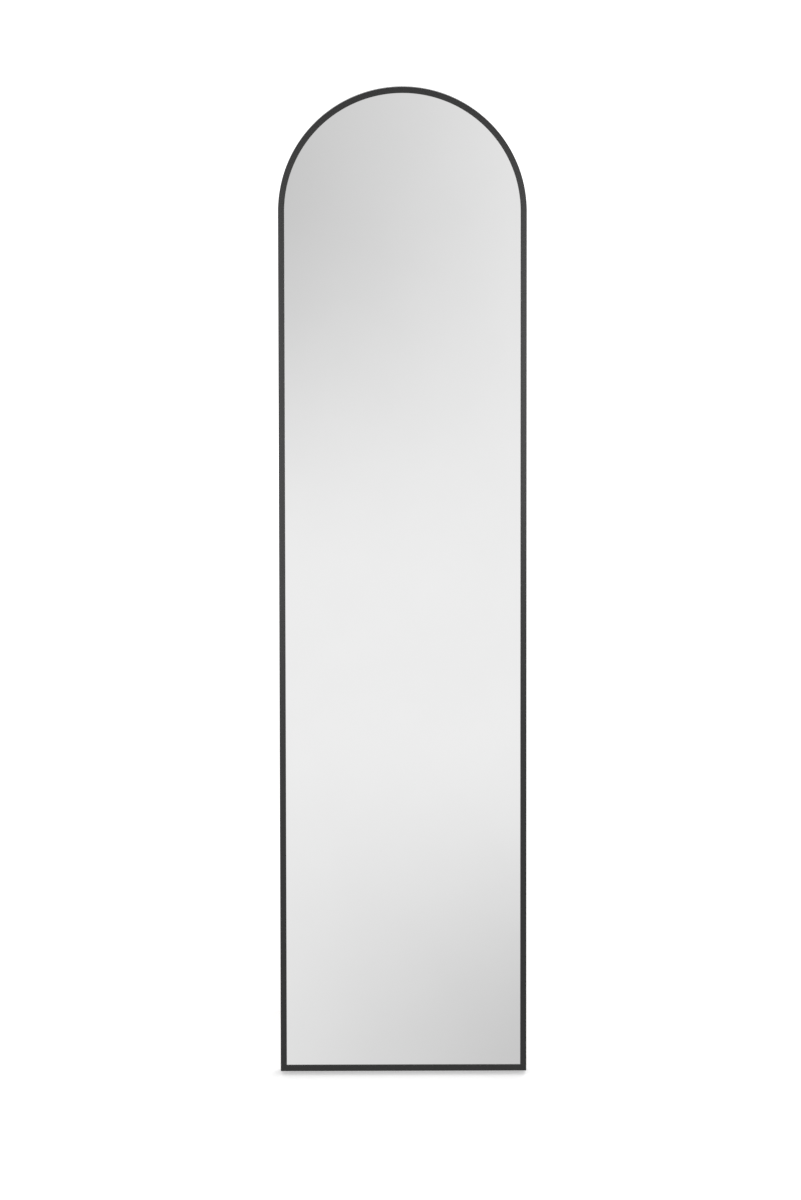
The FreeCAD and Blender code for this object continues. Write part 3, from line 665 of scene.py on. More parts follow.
# The stand's coat is coarser and duller than the frame's, as on bent steel tube
STAND_COAT = Finish(
    "powder_coated_steel", Slot.BLACK_STEEL, ("#191919", "#222222"), (0.42, 0.54), cloud_mm=3.0,
    relief_mm=0.7, relief_depth_mm=0.012, relief_detail=1, shine=0.40,
)
# Silver behind float glass returns a little under nine tenths of the light, almost without colour; the clouds are
# faint wiping marks and the relief is the slow draw of the sheet
SILVERED = Finish(
    "silvered_float_glass", Slot.SILVERED_GLASS, ("#ebebeb", "#eeeeee"), (0.004, 0.012), cloud_mm=90.0,
    relief_mm=160.0, relief_depth_mm=0.004, cloud_detail=5, relief_detail=0, metallic=1.0,
)
# The edge lets the iron in the glass show as green, matt from the grinding wheel
GLASS_EDGE = Finish(
    "ground_float_glass_edge", Slot.SILVERED_GLASS, ("#9fc0b2", "#b9d2c7"), (0.45, 0.6), cloud_mm=0.6,
    relief_mm=0.6, relief_depth_mm=0.06, cloud_detail=3, relief_detail=3,
)
# Two coats of grey paint keep damp off the silver and leave a plain, half matt back
GLASS_PAINT = Finish(
    "mirror_backing_paint", Slot.SILVERED_GLASS, ("#5f6664", "#69706e"), (0.5, 0.6), cloud_mm=30.0,
    relief_mm=1.5, relief_depth_mm=0.004,
)
# The screen's real pitch is under 2 mm, so it is drawn coarser to show in a picture of the whole back
HARDBOARD = PressedBoard(
    "pressed_hardboard", Slot.HARDBOARD, ("#7a5c41", "#91704f"), (0.62, 0.78), cloud_mm=38.0,
    relief_mm=3.2, relief_depth_mm=0.05, cloud_detail=6, shine=0.3, lean=STANCE.lean, fibre_colour="#54392a",
    fibre_mm=0.9, fibre_length=4.0,
)
# Unbleached paper is dull and brown, with a little pulp in it
CORRUGATED = FlutedBoard(
    "kraft_corrugated_board", Slot.CORRUGATED_BOARD, ("#a98258", "#b9926a"), (0.8, 0.9), cloud_mm=4.0,
    relief_mm=7.5, relief_depth_mm=0.3, cloud_detail=5,
)
# Screws and hangers are bright zinc; a blue passivation leaves a cold cloud on it, over the drawn steel's lines
ZINC = Finish(
    "zinc_plated_steel", Slot.ZINC_STEEL, ("#b4b9be", "#c8cacb"), (0.24, 0.38), cloud_mm=4.0,
    relief_mm=0.5, relief_depth_mm=0.0125, relief_stretch=(1, 1, 12), metallic=1.0,
)
# Die casting leaves a duller, greyer skin than plate
CAST_ALLOY = Finish(
    "die_cast_alloy", Slot.CAST_KEY, ("#a3a5a7", "#b4b6b7"), (0.42, 0.55), cloud_mm=6.0,
    relief_mm=0.8, relief_depth_mm=0.02, relief_stretch=(1, 1, 12), metallic=1.0,
)
# Rubber shows a grey bloom on a near black body
RUBBER = Finish(
    "moulded_rubber", Slot.BLACK_RUBBER, ("#1c1c1c", "#262626"), (0.68, 0.82), cloud_mm=5.0,
    relief_mm=0.5, relief_depth_mm=0.02,
)
# Foam swallows the light, so the tape is a dull line
FOAM = Finish(
    "closed_cell_foam_tape", Slot.FOAM_TAPE, ("#202020", "#2a2a2a"), (0.85, 0.95), cloud_mm=8.0,
    relief_mm=0.4, relief_depth_mm=0.05,
)
# Blown film is pale grey with a soft sheen
FILM = Finish(
    "polyethylene_film", Slot.BACKING_FILM, ("#cfd2d4", "#d9dbdc"), (0.35, 0.45), cloud_mm=60.0,
    relief_mm=3.0, relief_depth_mm=0.01,
)
# Natural nylon is milky, so a little light goes into it
NYLON = Finish(
    "moulded_nylon", Slot.NYLON, ("#dcd8cc", "#e6e3d9"), (0.38, 0.48), cloud_mm=6.0,
    relief_mm=0.6, relief_depth_mm=0.005, glow=0.15,
)


@dataclass(frozen=True)
class FrameAssembly(SubAssembly):
    """The bent arch with its two stiles, and the bottom rail that is mitred into it."""

    def mitre(self, bm: BMesh, keep_stile: bool) -> None:
        """Cut the left bottom corner along its mitre and mirror what is left.

        Args:
            bm: The left half of a length.
            keep_stile: Whether the stile is kept, and not the rail.
        """
        sign = 1 if keep_stile else -1
        slip = self.extrusion.mitre_gap / math.sqrt(2)
        slice_off(bm, Vector((-self.extrusion.half, 0, sign * slip)), Vector((1, 0, -1)) * sign)
        bmesh.ops.mirror(bm, geom=bm.verts[:] + bm.edges[:] + bm.faces[:], axis="X", merge_dist=MERGE_MM)

    def build(self) -> None:
        """Bend the section up a stile and over to the top, and run it along the bottom."""
        size = self.extrusion
        spring = Z_AXIS * size.spring
        arch = size.section(X_AXIS)
        loop = carry(arch, arch.edges[:], travel=spring)
        carry(arch, loop, size.arch_steps // 2, angle=QUARTER_TURN, centre=spring)
        self.mitre(arch, keep_stile=True)
        self.fit(arch, "arch_frame", "frame_arch", FRAME_COAT)
        rail = size.section(Z_AXIS)
        carry(rail, rail.edges[:], travel=X_AXIS * size.half)
        self.mitre(rail, keep_stile=False)
        self.fit(rail, "bottom_rail", "frame_bottom_rail", FRAME_COAT)


@dataclass(frozen=True)
class GlassPack(SubAssembly):
    """The mirror glass and the layers that hold it in the frame's groove."""

    edge_gap: float = 1.5
    tape: float = 1.0
    glass: float = 4.0
    arris: float = 0.5
    flat_share: float = 0.9

    def build_glass(self) -> None:
        """Cut the arched sheet, grind its arris and silver its front."""
        size = self.extrusion
        inset = size.wall + self.edge_gap
        middle = Vector((0, size.lip + self.tape, size.spring))
        bm = bmesh.new()
        spring = bm.verts.new(middle - X_AXIS * (size.half - inset))
        arch = bmesh.ops.spin(
            bm, geom=[spring], cent=middle, axis=Y_AXIS, angle=2 * QUARTER_TURN, steps=size.arch_steps
        )["geom_last"]
        ends = bmesh.ops.extrude_vert_indiv(bm, verts=[spring, *only(BMVert, arch)])["verts"]
        bmesh.ops.translate(bm, vec=Z_AXIS * (inset - size.spring), verts=ends)
        bmesh.ops.contextual_create(bm, geom=ends)
        bmesh.ops.contextual_create(bm, geom=bm.edges[:])
        thicken(bm, Y_AXIS * self.glass)
        rims = [edge for edge in bm.edges if abs(edge.verts[0].co.y - edge.verts[1].co.y) < MERGE_MM]
        bmesh.ops.bevel(
            bm, geom=rims, offset=self.arris, offset_type="OFFSET", segments=1, profile=0.5, affect="EDGES",
            material=-1,
        )
        bmesh.ops.recalc_face_normals(bm, faces=bm.faces)
        # The flat front is 0, the ground edge and its slanting arris are 1 and the flat back is 2
        for face in bm.faces:
            face.material_index = 1 + int(face.normal.y / self.flat_share)
        self.fit(bm, "mirror_pane", "mirror_glass", SILVERED, GLASS_EDGE, GLASS_PAINT)

    def build(self) -> None:
        """Build the glass and dress the layers round it."""
        self.build_glass()
        self.dress(FOAM, "bedding_tape")
        self.dress(FILM, "safety_film")
        self.dress(CORRUGATED, "cushion_sheet")
        self.dress(HARDBOARD, "back_panel")
        self.dress(RUBBER, "setting_blocks")


@dataclass(frozen=True)
class PanScrew:
    """Pan head screw with a cross recess, drawn with its head's seat at the origin and its shank along -Y."""

    diameter: float
    head: float
    height: float
    rounding: float
    length: float
    cross: float
    slot_width: float
    slot_depth: float
    seat_round: float = 0.15
    point_share: float = 0.5
    slot_taper: float = 0.7
    steps: int = 32

    def cross_cutter(self) -> BMesh:
        """Cross two tapered blades, as the driver's point presses them.

        Returns:
            The cutter.
        """
        floor = self.height - self.slot_depth
        half = self.slot_width / 2
        reach = self.cross / 2
        corners = []
        for turn in range(4):
            spin = Matrix.Rotation(turn * QUARTER_TURN, 3, "Y")
            corners += [(spin @ Vector((x, floor, z)), 0) for x, z in ((half, half), (reach, half), (reach, -half))]
        bm = outline(corners)
        bmesh.ops.contextual_create(bm, geom=bm.edges[:])
        thicken(bm, Y_AXIS * (self.slot_depth * 2))
        deep = [vert for vert in bm.verts if vert.co.y < floor + MERGE_MM]
        bmesh.ops.scale(bm, vec=(self.slot_taper, 1, self.slot_taper), verts=deep)
        return bm

    def driven(self, seats: Seats) -> BMesh:
        """Turn the screw, press the cross into its head and drive copies of it.

        Args:
            seats: Seat of each screw, and how far it is turned there.

        Returns:
            All the screws.
        """
        shank = self.diameter / 2
        head = self.head / 2
        profile = (
            (0, -self.length, 0), (shank * self.point_share, -self.length, 0), (shank, shank - self.length, 0),
            (shank, 0, 0), (head, 0, self.seat_round), (head, self.height, self.rounding), (0, self.height, 0),
        )
        screw = carved(lathe(profile, self.steps), self.cross_cutter())
        return gathered(screw, [Matrix.Translation(seat) @ Matrix.Rotation(turn, 4, "Y") for seat, turn in seats])


SMALL_SCREW = PanScrew(3.0, 5.6, 2.0, 1.5, 9.0, cross=3.0, slot_width=0.75, slot_depth=1.2)
BRACKET_SCREW = PanScrew(3.0, 6.9, 2.3, 1.8, 7.5, cross=3.6, slot_width=0.85, slot_depth=1.4)


@dataclass(frozen=True)
class CornerJoints(SubAssembly):
    """The hidden keys of the mitred corners and the screws that hold them."""

    reach: float = 28.0
    first_turn: float = 0.5

    def build(self) -> None:
        """Dress the keys and drive a screw into each of their legs."""
        size = self.extrusion
        self.dress(CAST_ALLOY, "corner_key_left", "corner_key_right")
        seats = []
        for number, side in enumerate(Side):
            for x, z in ((size.screw_line, self.reach), (self.reach, size.screw_line)):
                seat = Vector((side.value * (size.half - x), size.depth, z))
                seats.append((seat, self.first_turn + number + x))
        self.fit(SMALL_SCREW.driven(seats), "corner_pan_screws", "corner_screws", ZINC)


@dataclass(frozen=True)
class FloorPads(SubAssembly):
    """Rubber pads under the bottom rail."""

    ease: float = 0.4

    def build(self) -> None:
        """Ease the edges of both pads."""
        self.ease_pair("frame_foot", "floor_pad", RUBBER, self.ease)


@dataclass(frozen=True)
class WallFittings(SubAssembly):
    """Keyhole hangers with their screws, and bumpers that keep the frame off the wall."""

    below_arch: float = 60.0
    gauge: float = 1.5
    screw_pitch: float = 28.0
    screw_turns: Pair = (0.3, 1.3)
    bumper: float = 8.0
    bumper_height: float = 3.0
    bumper_round: float = 2.2
    bumper_seat_round: float = 0.2
    bumper_inset: float = 80.0
    bumper_angle: float = math.radians(60)
    bumper_steps: int = 32
    ease: float = 0.25

    def build_hangers(self) -> None:
        """Ease the stamped plates and drive their screws."""
        self.ease_pair("wall_hanger", "keyhole_plate", ZINC, self.ease)
        height = self.extrusion.spring - self.below_arch
        seats = self.extrusion.stile_seats(self.gauge, height, self.screw_pitch, self.screw_turns)
        self.fit(SMALL_SCREW.driven(seats), "hanger_pan_screws", "hanger_screws", ZINC)

    def build_bumpers(self) -> None:
        """Turn one bumper and set it on the arch and on the rail."""
        size = self.extrusion
        radius = self.bumper / 2
        top = self.bumper_height
        profile = ((0, 0, 0), (radius, 0, self.bumper_seat_round), (radius, top, self.bumper_round), (0, top, 0))
        mesh = as_mesh(lathe(profile, self.bumper_steps), "bumper")
        middle = size.face / 2
        ring = size.half - middle
        spots = (
            (ring * math.cos(self.bumper_angle), size.spring + ring * math.sin(self.bumper_angle)),
            (size.half - self.bumper_inset, middle),
        )
        places = [Matrix.Translation((side.value * x, size.depth, z)) for side in Side for x, z in spots]
        self.fit(gathered(mesh, places), "rubber_bumpers", "wall_bumpers", RUBBER)

    def build(self) -> None:
        """Build the hangers and the bumpers."""
        self.build_hangers()
        self.build_bumpers()


@dataclass(frozen=True)
class StandHinge(SubAssembly):
    """Brackets on the stiles, and the bolts, washers and lock nuts that carry the stand."""

    gauge: float = 2.0
    screw_pitch: float = 44.0
    screw_turns: Pair = (0.0, 0.7)
    ear_gap: float = 7.0
    washer: float = 13.0
    washer_gauge: float = 1.0
    washer_ease: float = 0.15
    side_play: float = 0.1
    lug: float = 2.4
    bolt: float = 6.0
    bolt_end: float = 1.0
    bolt_end_round: float = 0.5
    bolt_head: float = 10.5
    bolt_head_height: float = 3.2
    bolt_head_round: float = 2.6
    bolt_seat_round: float = 0.2
    socket_flats: float = 4.0
    socket_depth: float = 2.0
    nut_flats: float = 10.0
    nut_height: float = 4.5
    collar: float = 8.6
    collar_height: float = 1.5
    collar_wall: float = 0.7
    insert_height: float = 0.25
    pivot_fit: float = 0.05
    ease: float = 0.3
    round_steps: int = 40

    @property
    def ear_outer(self) -> float:
        """Distance from the middle plane to the outer face of a bracket's ear."""
        return self.extrusion.half - self.extrusion.face - self.ear_gap

    @property
    def ear_inner(self) -> float:
        """Distance from the middle plane to the inner face of a bracket's ear."""
        return self.ear_outer - self.gauge

    @property
    def inner_washer(self) -> float:
        """Distance from the middle plane to the inner face of the washer under the nut."""
        return self.ear_inner - 2 * (self.washer_gauge + self.side_play) - self.lug

    @property
    def bore(self) -> float:
        """Radius of the holes that the bolt goes through."""
        return self.bolt / 2 + self.pivot_fit

    def on_axis(self, side: Side, distance: float) -> Matrix:
        """Matrix from a turned piece to the pivot axis, with its +Y pointing away from the middle plane."""
        spot = self.stance.drawn_hinge + X_AXIS * (side.value * distance)
        return Matrix.Translation(spot) @ Matrix.Rotation(-side.value * QUARTER_TURN, 4, "Z")

    def build_brackets(self) -> None:
        """Ease the bent brackets, dress their backing bars and drive their screws."""
        self.ease_pair("hinge_bracket", "stand_bracket", STAND_COAT, self.ease)
        self.dress(ZINC, "hinge_backing_bar_left", "hinge_backing_bar_right")
        height = self.stance.hinge_height
        seats = self.extrusion.stile_seats(self.gauge, height, self.screw_pitch, self.screw_turns)
        self.fit(BRACKET_SCREW.driven(seats), "bracket_pan_screws", "bracket_screws", ZINC)

    def build_bolts(self) -> None:
        """Turn the button head bolts and press their sockets."""
        shank = self.bolt / 2
        head = self.bolt_head / 2
        top = self.bolt_head_height
        end = self.inner_washer - self.ear_outer - self.nut_height - self.collar_height - self.bolt_end
        profile = (
            (0, end, 0), (shank, end, self.bolt_end_round), (shank, 0, 0), (head, 0, self.bolt_seat_round),
            (head, top, self.bolt_head_round), (0, top, 0),
        )
        key = bar(self.socket_flats * HEX_CORNER, HEX_SIDES, top - self.socket_depth, self.socket_depth * 2)
        mesh = carved(lathe(profile, self.round_steps), key)
        for side in Side:
            bm = gathered(mesh, [self.on_axis(side, self.ear_outer)])
            self.fit(bm, f"button_bolt_{side.word}", f"pivot_bolt_{side.word}", ZINC)

    def build_washers(self) -> None:
        """Stamp the nylon washers on both sides of each lug."""
        mesh = as_mesh(bar(self.washer / 2, self.round_steps, 0, self.washer_gauge, self.bore), "washer")
        spots = (self.ear_inner - self.washer_gauge, self.inner_washer)
        bm = gathered(mesh, [self.on_axis(side, distance) for side in Side for distance in spots])
        self.fit(bm, "nylon_washers", "pivot_washers", NYLON, ease_mm=self.washer_ease)

    def build_nuts(self) -> None:
        """Build the lock nuts: a hexagon, a round collar and the nylon insert in its mouth."""
        mouth = self.nut_height + self.collar_height
        depth = self.insert_height + self.collar_height / 2
        inside = self.collar / 2 - self.collar_wall
        hexagon = bar(self.nut_flats * HEX_CORNER, HEX_SIDES, -self.nut_height, self.nut_height)
        collar = bar(self.collar / 2, self.round_steps, -mouth, self.collar_height, self.bore)
        insert = bar(inside, self.round_steps, -mouth - self.insert_height, depth, self.bore)
        for face in insert.faces:
            face.material_index = 1
        nut = bmesh.new()
        for layer in (hexagon, collar, insert):
            nut.from_mesh(as_mesh(layer, "nut_layer"))
        mesh = as_mesh(nut, "nut")
        for side in Side:
            bm = gathered(mesh, [self.on_axis(side, self.inner_washer)])
            self.fit(bm, f"lock_nut_{side.word}", f"pivot_nut_{side.word}", ZINC, NYLON, ease_mm=self.ease)

    def build(self) -> None:
        """Build the hinge from the stile to the nut."""
        self.build_brackets()
        self.build_bolts()
        self.build_washers()
        self.build_nuts()


@dataclass(frozen=True)
class FoldingStand(SubAssembly):
    """The U-shaped tube with its pressed ends, and the rubber feet on its crossbar."""

    hinge: StandHinge
    tube: float = 14.0
    bend: float = 45.0
    bar_height: float = 25.35
    lug_width: float = 17.0
    lug_below: float = 16.0
    lug_tail: float = 16.0
    lug_round: float = 5.0
    lug_facets: int = 6
    lug_squareness: float = 6.0
    neck: float = 32.0
    neck_steps: int = 28
    stop_depth: float = 16.55
    tube_steps: int = 40
    bend_steps: int = 24
    foot_wall: float = 1.5
    foot_standoff: float = 10.5
    foot_sole: float = 13.0
    foot_length: float = 40.0
    foot_bend_gap: float = 13.0
    foot_side_drop: float = 3.0
    foot_sole_round: float = 1.5
    foot_side_round: float = 2.0
    foot_top_share: float = 0.98
    foot_steps: int = 10
    foot_fit: float = 0.05
    tread_spread: float = 4.4
    tread_width: float = 1.0
    tread_depth: float = 0.6
    ease: float = 0.3

    @property
    def lug_outer(self) -> float:
        """Distance from the middle plane to the outer face of a pressed end."""
        return self.hinge.ear_inner - self.hinge.washer_gauge - self.hinge.side_play

    @property
    def leg(self) -> float:
        """Distance from the middle plane to the middle of a leg."""
        return self.lug_outer - self.tube / 2

    @property
    def neck_low(self) -> float:
        """Height at which the tube starts to flatten."""
        return self.stance.hinge_height - self.lug_below - self.neck

    def press(self, bm: BMesh) -> None:
        """Press the tube's two ends flat, with a smooth neck below each.

        Args:
            bm: The bent tube.
        """
        depth = self.stance.hinge_depth
        radius = self.tube / 2
        for vert in bm.verts:
            share = min((vert.co.z - self.neck_low) / self.neck, 1.0)
            if share <= 0:
                continue
            side = math.copysign(1, vert.co.x)
            across = (vert.co.x * side - self.leg) / radius
            along = (vert.co.y - depth) / radius
            ease = share * share * (3 - 2 * share)
            thick = radius + (self.hinge.lug / 2 - radius) * ease
            wide = radius + (self.lug_width / 2 - radius) * ease
            square = 2 / (2 + self.lug_squareness * ease)
            middle = self.lug_outer - thick
            vert.co.x = side * (middle + math.copysign(abs(across) ** square, across) * thick)
            vert.co.y = depth + math.copysign(abs(along) ** square, along) * wide

    def trim_lugs(self, bm: BMesh) -> None:
        """Cut the stop face and round the rear corner of both pressed ends.

        Args:
            bm: The tube with its ends pressed.
        """
        stance = self.stance
        hinge = stance.drawn_hinge
        forward = Matrix.Rotation(-stance.open_angle, 3, "X") @ -Y_AXIS
        slice_off(bm, hinge + forward * (stance.hinge_depth - self.stop_depth), forward)
        corner = hinge + Vector((0, self.lug_width / 2 - self.lug_round, self.lug_tail - self.lug_round))
        for step in range(1, self.lug_facets):
            turn = QUARTER_TURN * step / self.lug_facets
            outward = Vector((0, math.cos(turn), math.sin(turn)))
            slice_off(bm, corner + outward * self.lug_round, outward)

    def build_tube(self) -> None:
        """Bend the tube down one leg, along the crossbar and up the other, then press and trim its ends."""
        top = self.stance.hinge_height + self.lug_tail
        depth = self.stance.hinge_depth
        knee = self.bar_height + self.bend
        inner = self.leg - self.bend
        flat_step = Z_AXIS * ((self.neck_low - top) / self.neck_steps)
        shaft = Z_AXIS * (knee - self.neck_low)
        bm = bmesh.new()
        start = Matrix.Translation((-self.leg, depth, top))
        bmesh.ops.create_circle(bm, cap_ends=False, segments=self.tube_steps, radius=self.tube / 2, matrix=start)
        loop = carry(bm, bm.edges[:], self.neck_steps, flat_step)
        loop = carry(bm, loop, travel=shaft)
        loop = carry(bm, loop, self.bend_steps, angle=-QUARTER_TURN, centre=(-inner, depth, knee))
        loop = carry(bm, loop, travel=X_AXIS * (2 * inner))
        loop = carry(bm, loop, self.bend_steps, angle=-QUARTER_TURN, centre=(inner, depth, knee))
        loop = carry(bm, loop, travel=-shaft)
        carry(bm, loop, self.neck_steps, -flat_step)
        self.press(bm)
        bmesh.ops.holes_fill(bm, edges=[edge for edge in bm.edges if edge.is_boundary], sides=0)
        self.trim_lugs(bm)
        self.fit(bm, "stand_frame", "stand_tube", STAND_COAT, body=Body.STAND, ease_mm=self.ease)

    def foot_section(self, start: float) -> BMesh:
        """Draw a foot's section: a sleeve round the tube with a flat, grooved sole.

        Args:
            start: X of the section.

        Returns:
            The section, filled.
        """
        radius = self.tube / 2 + self.foot_wall
        top_round = radius * self.foot_top_share
        sole = self.foot_sole / 2
        ground = -self.foot_standoff
        raised = ground + self.tread_depth
        corners = [(-sole, ground, self.foot_sole_round)]
        for middle in (-self.tread_spread / 2, self.tread_spread / 2):
            near = middle - self.tread_width / 2
            far = middle + self.tread_width / 2
            corners += [(near, ground, 0), (near, raised, 0), (far, raised, 0), (far, ground, 0)]
        corners += [
            (sole, ground, self.foot_sole_round), (radius, -self.foot_side_drop, self.foot_side_round),
            (radius, radius, top_round), (-radius, radius, top_round),
            (-radius, -self.foot_side_drop, self.foot_side_round),
        ]
        stance = self.stance
        # This turn lays the sole on the floor once the stand is open
        slope = Matrix.Rotation(stance.lean - stance.open_angle, 3, "X")
        centre = Vector((start, stance.hinge_depth, self.bar_height))
        points = [(centre + slope @ Vector((0, y, z)), rounding) for y, z, rounding in corners]
        bm = outline(points, self.foot_steps)
        place = Matrix.Translation(centre) @ Matrix.Rotation(QUARTER_TURN, 4, "Y")
        bore = self.tube / 2 + self.foot_fit
        bmesh.ops.create_circle(bm, cap_ends=False, segments=self.tube_steps, radius=bore, matrix=place)
        bmesh.ops.triangle_fill(bm, edges=bm.edges[:], use_beauty=True)
        return bm

    def build_feet(self) -> None:
        """Mould the two sleeves on the crossbar."""
        outer = self.leg - self.bend - self.foot_bend_gap
        for side in Side:
            bm = self.foot_section(outer - self.foot_length if side is Side.RIGHT else -outer)
            thicken(bm, X_AXIS * self.foot_length)
            name = f"rubber_sleeve_{side.word}"
            self.fit(bm, name, f"stand_foot_{side.word}", RUBBER, body=Body.STAND, ease_mm=self.ease)

    def build(self) -> None:
        """Build the tube and its feet."""
        self.build_tube()
        self.build_feet()


@dataclass(frozen=True)
class Lamp:
    """A soft lamp with a rectangular window, in metres and watts."""

    name: str
    spot: Triple
    target: Triple
    window: Pair
    watts: float

    def build(self) -> None:
        """Hang the lamp and point it."""
        data = bpy.data.lights.new(self.name, "AREA")
        data.shape = "RECTANGLE"
        data.size, data.size_y = self.window
        data.energy = self.watts
        spot = Vector(self.spot)
        aim = (Vector(self.target) - spot).to_track_quat("-Z", "Y")
        set_out(self.name, data).matrix_world = Matrix.LocRotScale(spot, aim, None)


@dataclass(frozen=True)
class Fall:
    """A fall of light on the card: heights where it sets in and fades, and its share at the left and the right."""

    sets_in: Pair
    fades: Pair
    shares: Pair


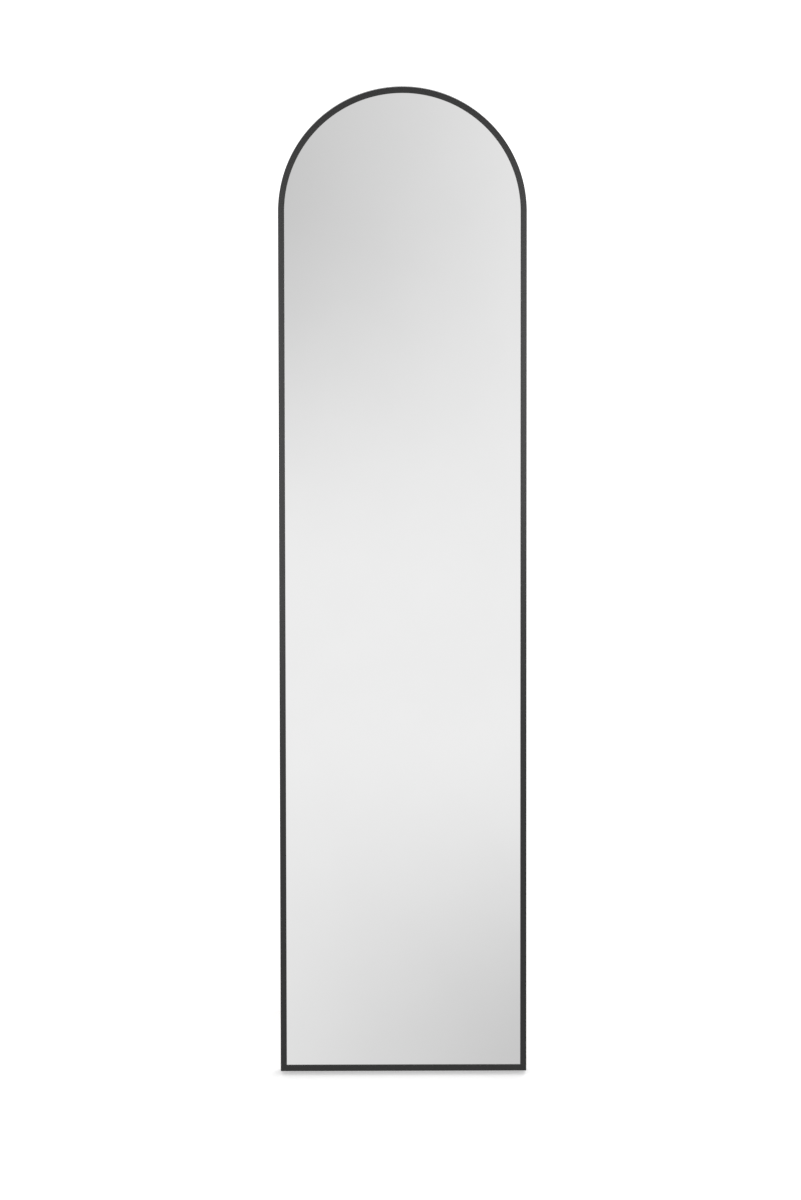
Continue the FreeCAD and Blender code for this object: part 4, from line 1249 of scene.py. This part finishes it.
@dataclass(frozen=True)
class Studio:
    """White floor, soft lamps and the card that the mirror sees, in metres."""

    ambient: float = 0.65
    floor_colour: str = "#f2f2f2"
    floor_reach: float = 60.0
    floor_lift: float = 0.46
    far_lift: float = 0.75
    lift_range: Pair = (1.0, 4.0)
    card_distance: float = 3.0
    card_width: float = 1.6
    card_low: float = -0.4
    card_high: float = 3.2
    edge_range: Pair = (0.35, 0.78)
    share_range: Pair = (-0.25, 0.25)
    fall_depth: float = 0.215
    falls: tuple[Fall, ...] = (
        Fall((1.06, 1.92), (2.27, 2.87), (1.57, 0.43)),
        Fall((0.785, 0.035), (-0.055, -0.435), (0.50, 1.50)),
    )
    lamps: tuple[Lamp, ...] = (
        Lamp("left_strip", (-0.48, -2.9, 1.3775), (-0.48, 0, 1.3775), (0.40, 0.975), 4.1),
        Lamp("right_strip", (0.48, -2.9, 1.5075), (0.48, 0, 1.5075), (0.40, 0.715), 3.3),
        Lamp("back_lamp", (1.4, 2.6, 2.4), (0, 0.1, 0.8), (1.4, 1.4), 30.0),
    )

    def build_world(self) -> None:
        """White to the camera and in shiny faces, and a plain level of light on matt ones."""
        world = bpy.data.worlds.new("studio")
        bpy.context.scene.world = world
        world.use_nodes = True
        tree = world.node_tree
        path = add_node(tree, "LightPath").outputs
        seen = path["Is Camera Ray"]
        for kind in ("Is Glossy Ray", "Is Transmission Ray"):
            seen = add_node(tree, "Math", (seen, path[kind]), operation="MAXIMUM")
        level = add_node(tree, "MapRange", {"Value": seen, "To Min": self.ambient, "To Max": 1.0})
        wire(tree, tree.nodes["Background"], {"Color": WHITE, "Strength": level})

    def stage_sheet(self, name: str, material: Material, place: Matrix) -> Object:
        """Set out a flat sheet that isn't part of the object.

        Args:
            name: Name of the sheet.
            material: Its material.
            place: Matrix from a square of one metre to the sheet.

        Returns:
            The sheet.
        """
        bm = bmesh.new()
        bmesh.ops.create_grid(bm, x_segments=1, y_segments=1, size=0.5, matrix=place)
        mesh = as_mesh(bm, name)
        mesh.materials.append(material)
        sheet = set_out(name, mesh)
        return sheet

    def build_floor(self) -> None:
        """Pale floor that keeps the mirror's shadow."""
        # Matt paint takes a soft shadow; its glow grows with distance, so that it runs into the white behind it, and
        # shiny faces see it as plain white
        material = bpy.data.materials.new("painted_studio_floor")
        material.use_nodes = True
        tree = material.node_tree
        coords = add_node(tree, "TexCoord").outputs["Object"]
        far = add_node(tree, "VectorMath", (coords,), operation="LENGTH")
        lift = add_node(
            tree, "MapRange", (far, *self.lift_range, self.floor_lift, self.far_lift),
            interpolation_type="SMOOTHSTEP",
        )
        paint = tree.nodes["Principled BSDF"]
        matt = {"Base Color": linear(self.floor_colour), "Roughness": 1.0, "Specular IOR Level": 0.0}
        wire(tree, paint, matt | {"Emission Color": WHITE, "Emission Strength": lift})
        glossy = add_node(tree, "LightPath").outputs["Is Glossy Ray"]
        white = add_node(tree, "Emission")
        plain = add_node(tree, "MixShader", (glossy, paint, white))
        wire(tree, tree.nodes["Material Output"], {"Surface": plain})
        self.stage_sheet("studio_floor", material, Matrix.Scale(2 * self.floor_reach, 4))

    def build_card(self) -> None:
        """Tall card before the mirror, duller towards its upper left and lower right ends."""
        # Matt white card has no gloss of its own, so the glass shows soft greys without an edge
        material = bpy.data.materials.new("white_card")
        material.use_nodes = True
        self.dress_card(material.node_tree)
        middle = Vector((0, -self.card_distance, (self.card_high + self.card_low) / 2))
        size = Matrix.Diagonal((self.card_width, self.card_high - self.card_low, 1, 1))
        card = self.stage_sheet("reflected_card", material, Matrix.Translation(middle) @ ALONG_Y @ size)
        card.visible_camera = False
        card.visible_diffuse = False
        card.visible_shadow = False
        card.visible_volume_scatter = False

    def dress_card(self, tree: NodeTree) -> None:
        """Light the card evenly, with a soft fall at two opposite ends.

        Args:
            tree: Node tree of the card's material.
        """
        tree.nodes.remove(tree.nodes["Principled BSDF"])
        coords = add_node(tree, "TexCoord").outputs["Object"]
        axes = add_node(tree, "SeparateXYZ", (coords,)).outputs
        side = add_node(tree, "Math", (axes["X"],), operation="ABSOLUTE")
        level = 1.0
        for fall in self.falls:
            ramps = (
                (side, *self.edge_range, 1.0, 0.0),
                (axes["Z"], *fall.sets_in, 0.0, self.fall_depth),
                (axes["Z"], *fall.fades, 1.0, 0.0),
            )
            dull = add_node(tree, "MapRange", (axes["X"], *self.share_range, *fall.shares))
            for ramp in ramps:
                share = add_node(tree, "MapRange", ramp, interpolation_type="SMOOTHSTEP")
                dull = add_node(tree, "Math", (dull, share), operation="MULTIPLY")
            level = add_node(tree, "Math", (level, dull), operation="SUBTRACT")
        light = add_node(tree, "Emission", {"Strength": level})
        wire(tree, tree.nodes["Material Output"], {"Surface": light})

    def build(self) -> None:
        """Set the room, the lamps and the way colours are shown."""
        self.build_world()
        self.build_floor()
        self.build_card()
        for lamp in self.lamps:
            lamp.build()
        bpy.context.scene.view_settings.view_transform = "Standard"


@dataclass(frozen=True)
class Camera:
    """The photograph's camera, square to the mirror's width and a little above its face."""

    stance: Stance
    image_height: int = 1200
    focal_px: float = 7000.0
    sensor_mm: float = 36.0
    clip_end: float = 100.0
    distance: float = 11402.0
    bottom_drop: float = 767.0
    bottom_side: float = 5.0
    tilt: float = math.radians(6.5)
    turn: float = math.radians(0.42)
    roll: float = math.radians(-0.08)

    def build(self) -> None:
        """Place the camera by where the mirror's bottom edge stands in its view."""
        data = bpy.data.cameras.new("photo_camera")
        data.sensor_width = self.sensor_mm
        data.lens = self.focal_px * self.sensor_mm / self.image_height
        data.clip_end = self.clip_end
        seen = (
            Matrix.Translation((self.bottom_side, self.distance, -self.bottom_drop))
            @ Matrix.Rotation(self.roll, 4, "Y")
            @ Matrix.Rotation(self.tilt, 4, "X")
            @ Matrix.Rotation(self.turn, 4, "Z")
        )
        spot, turn, _ = (self.stance.of(Body.MIRROR) @ seen.inverted() @ ALONG_Y).decompose()
        camera = set_out("photo_camera", data)
        camera.matrix_world = Matrix.LocRotScale(spot, turn, None)
        bpy.context.scene.camera = camera


def main() -> None:
    """Build every sub-assembly in order, then the studio round it."""
    logging.basicConfig(level=logging.INFO, format="%(name)s: %(message)s")
    extrusion = Extrusion()
    hinge = StandHinge(STANCE, extrusion)
    assemblies: list[SubAssembly] = [
        FrameAssembly(STANCE, extrusion),
        GlassPack(STANCE, extrusion),
        CornerJoints(STANCE, extrusion),
        FloorPads(STANCE, extrusion),
        WallFittings(STANCE, extrusion),
        hinge,
        FoldingStand(STANCE, extrusion, hinge),
    ]
    for assembly in assemblies:
        assembly.build()
    Studio().build()
    Camera(STANCE).build()


if __name__ == "__main__":
    main()
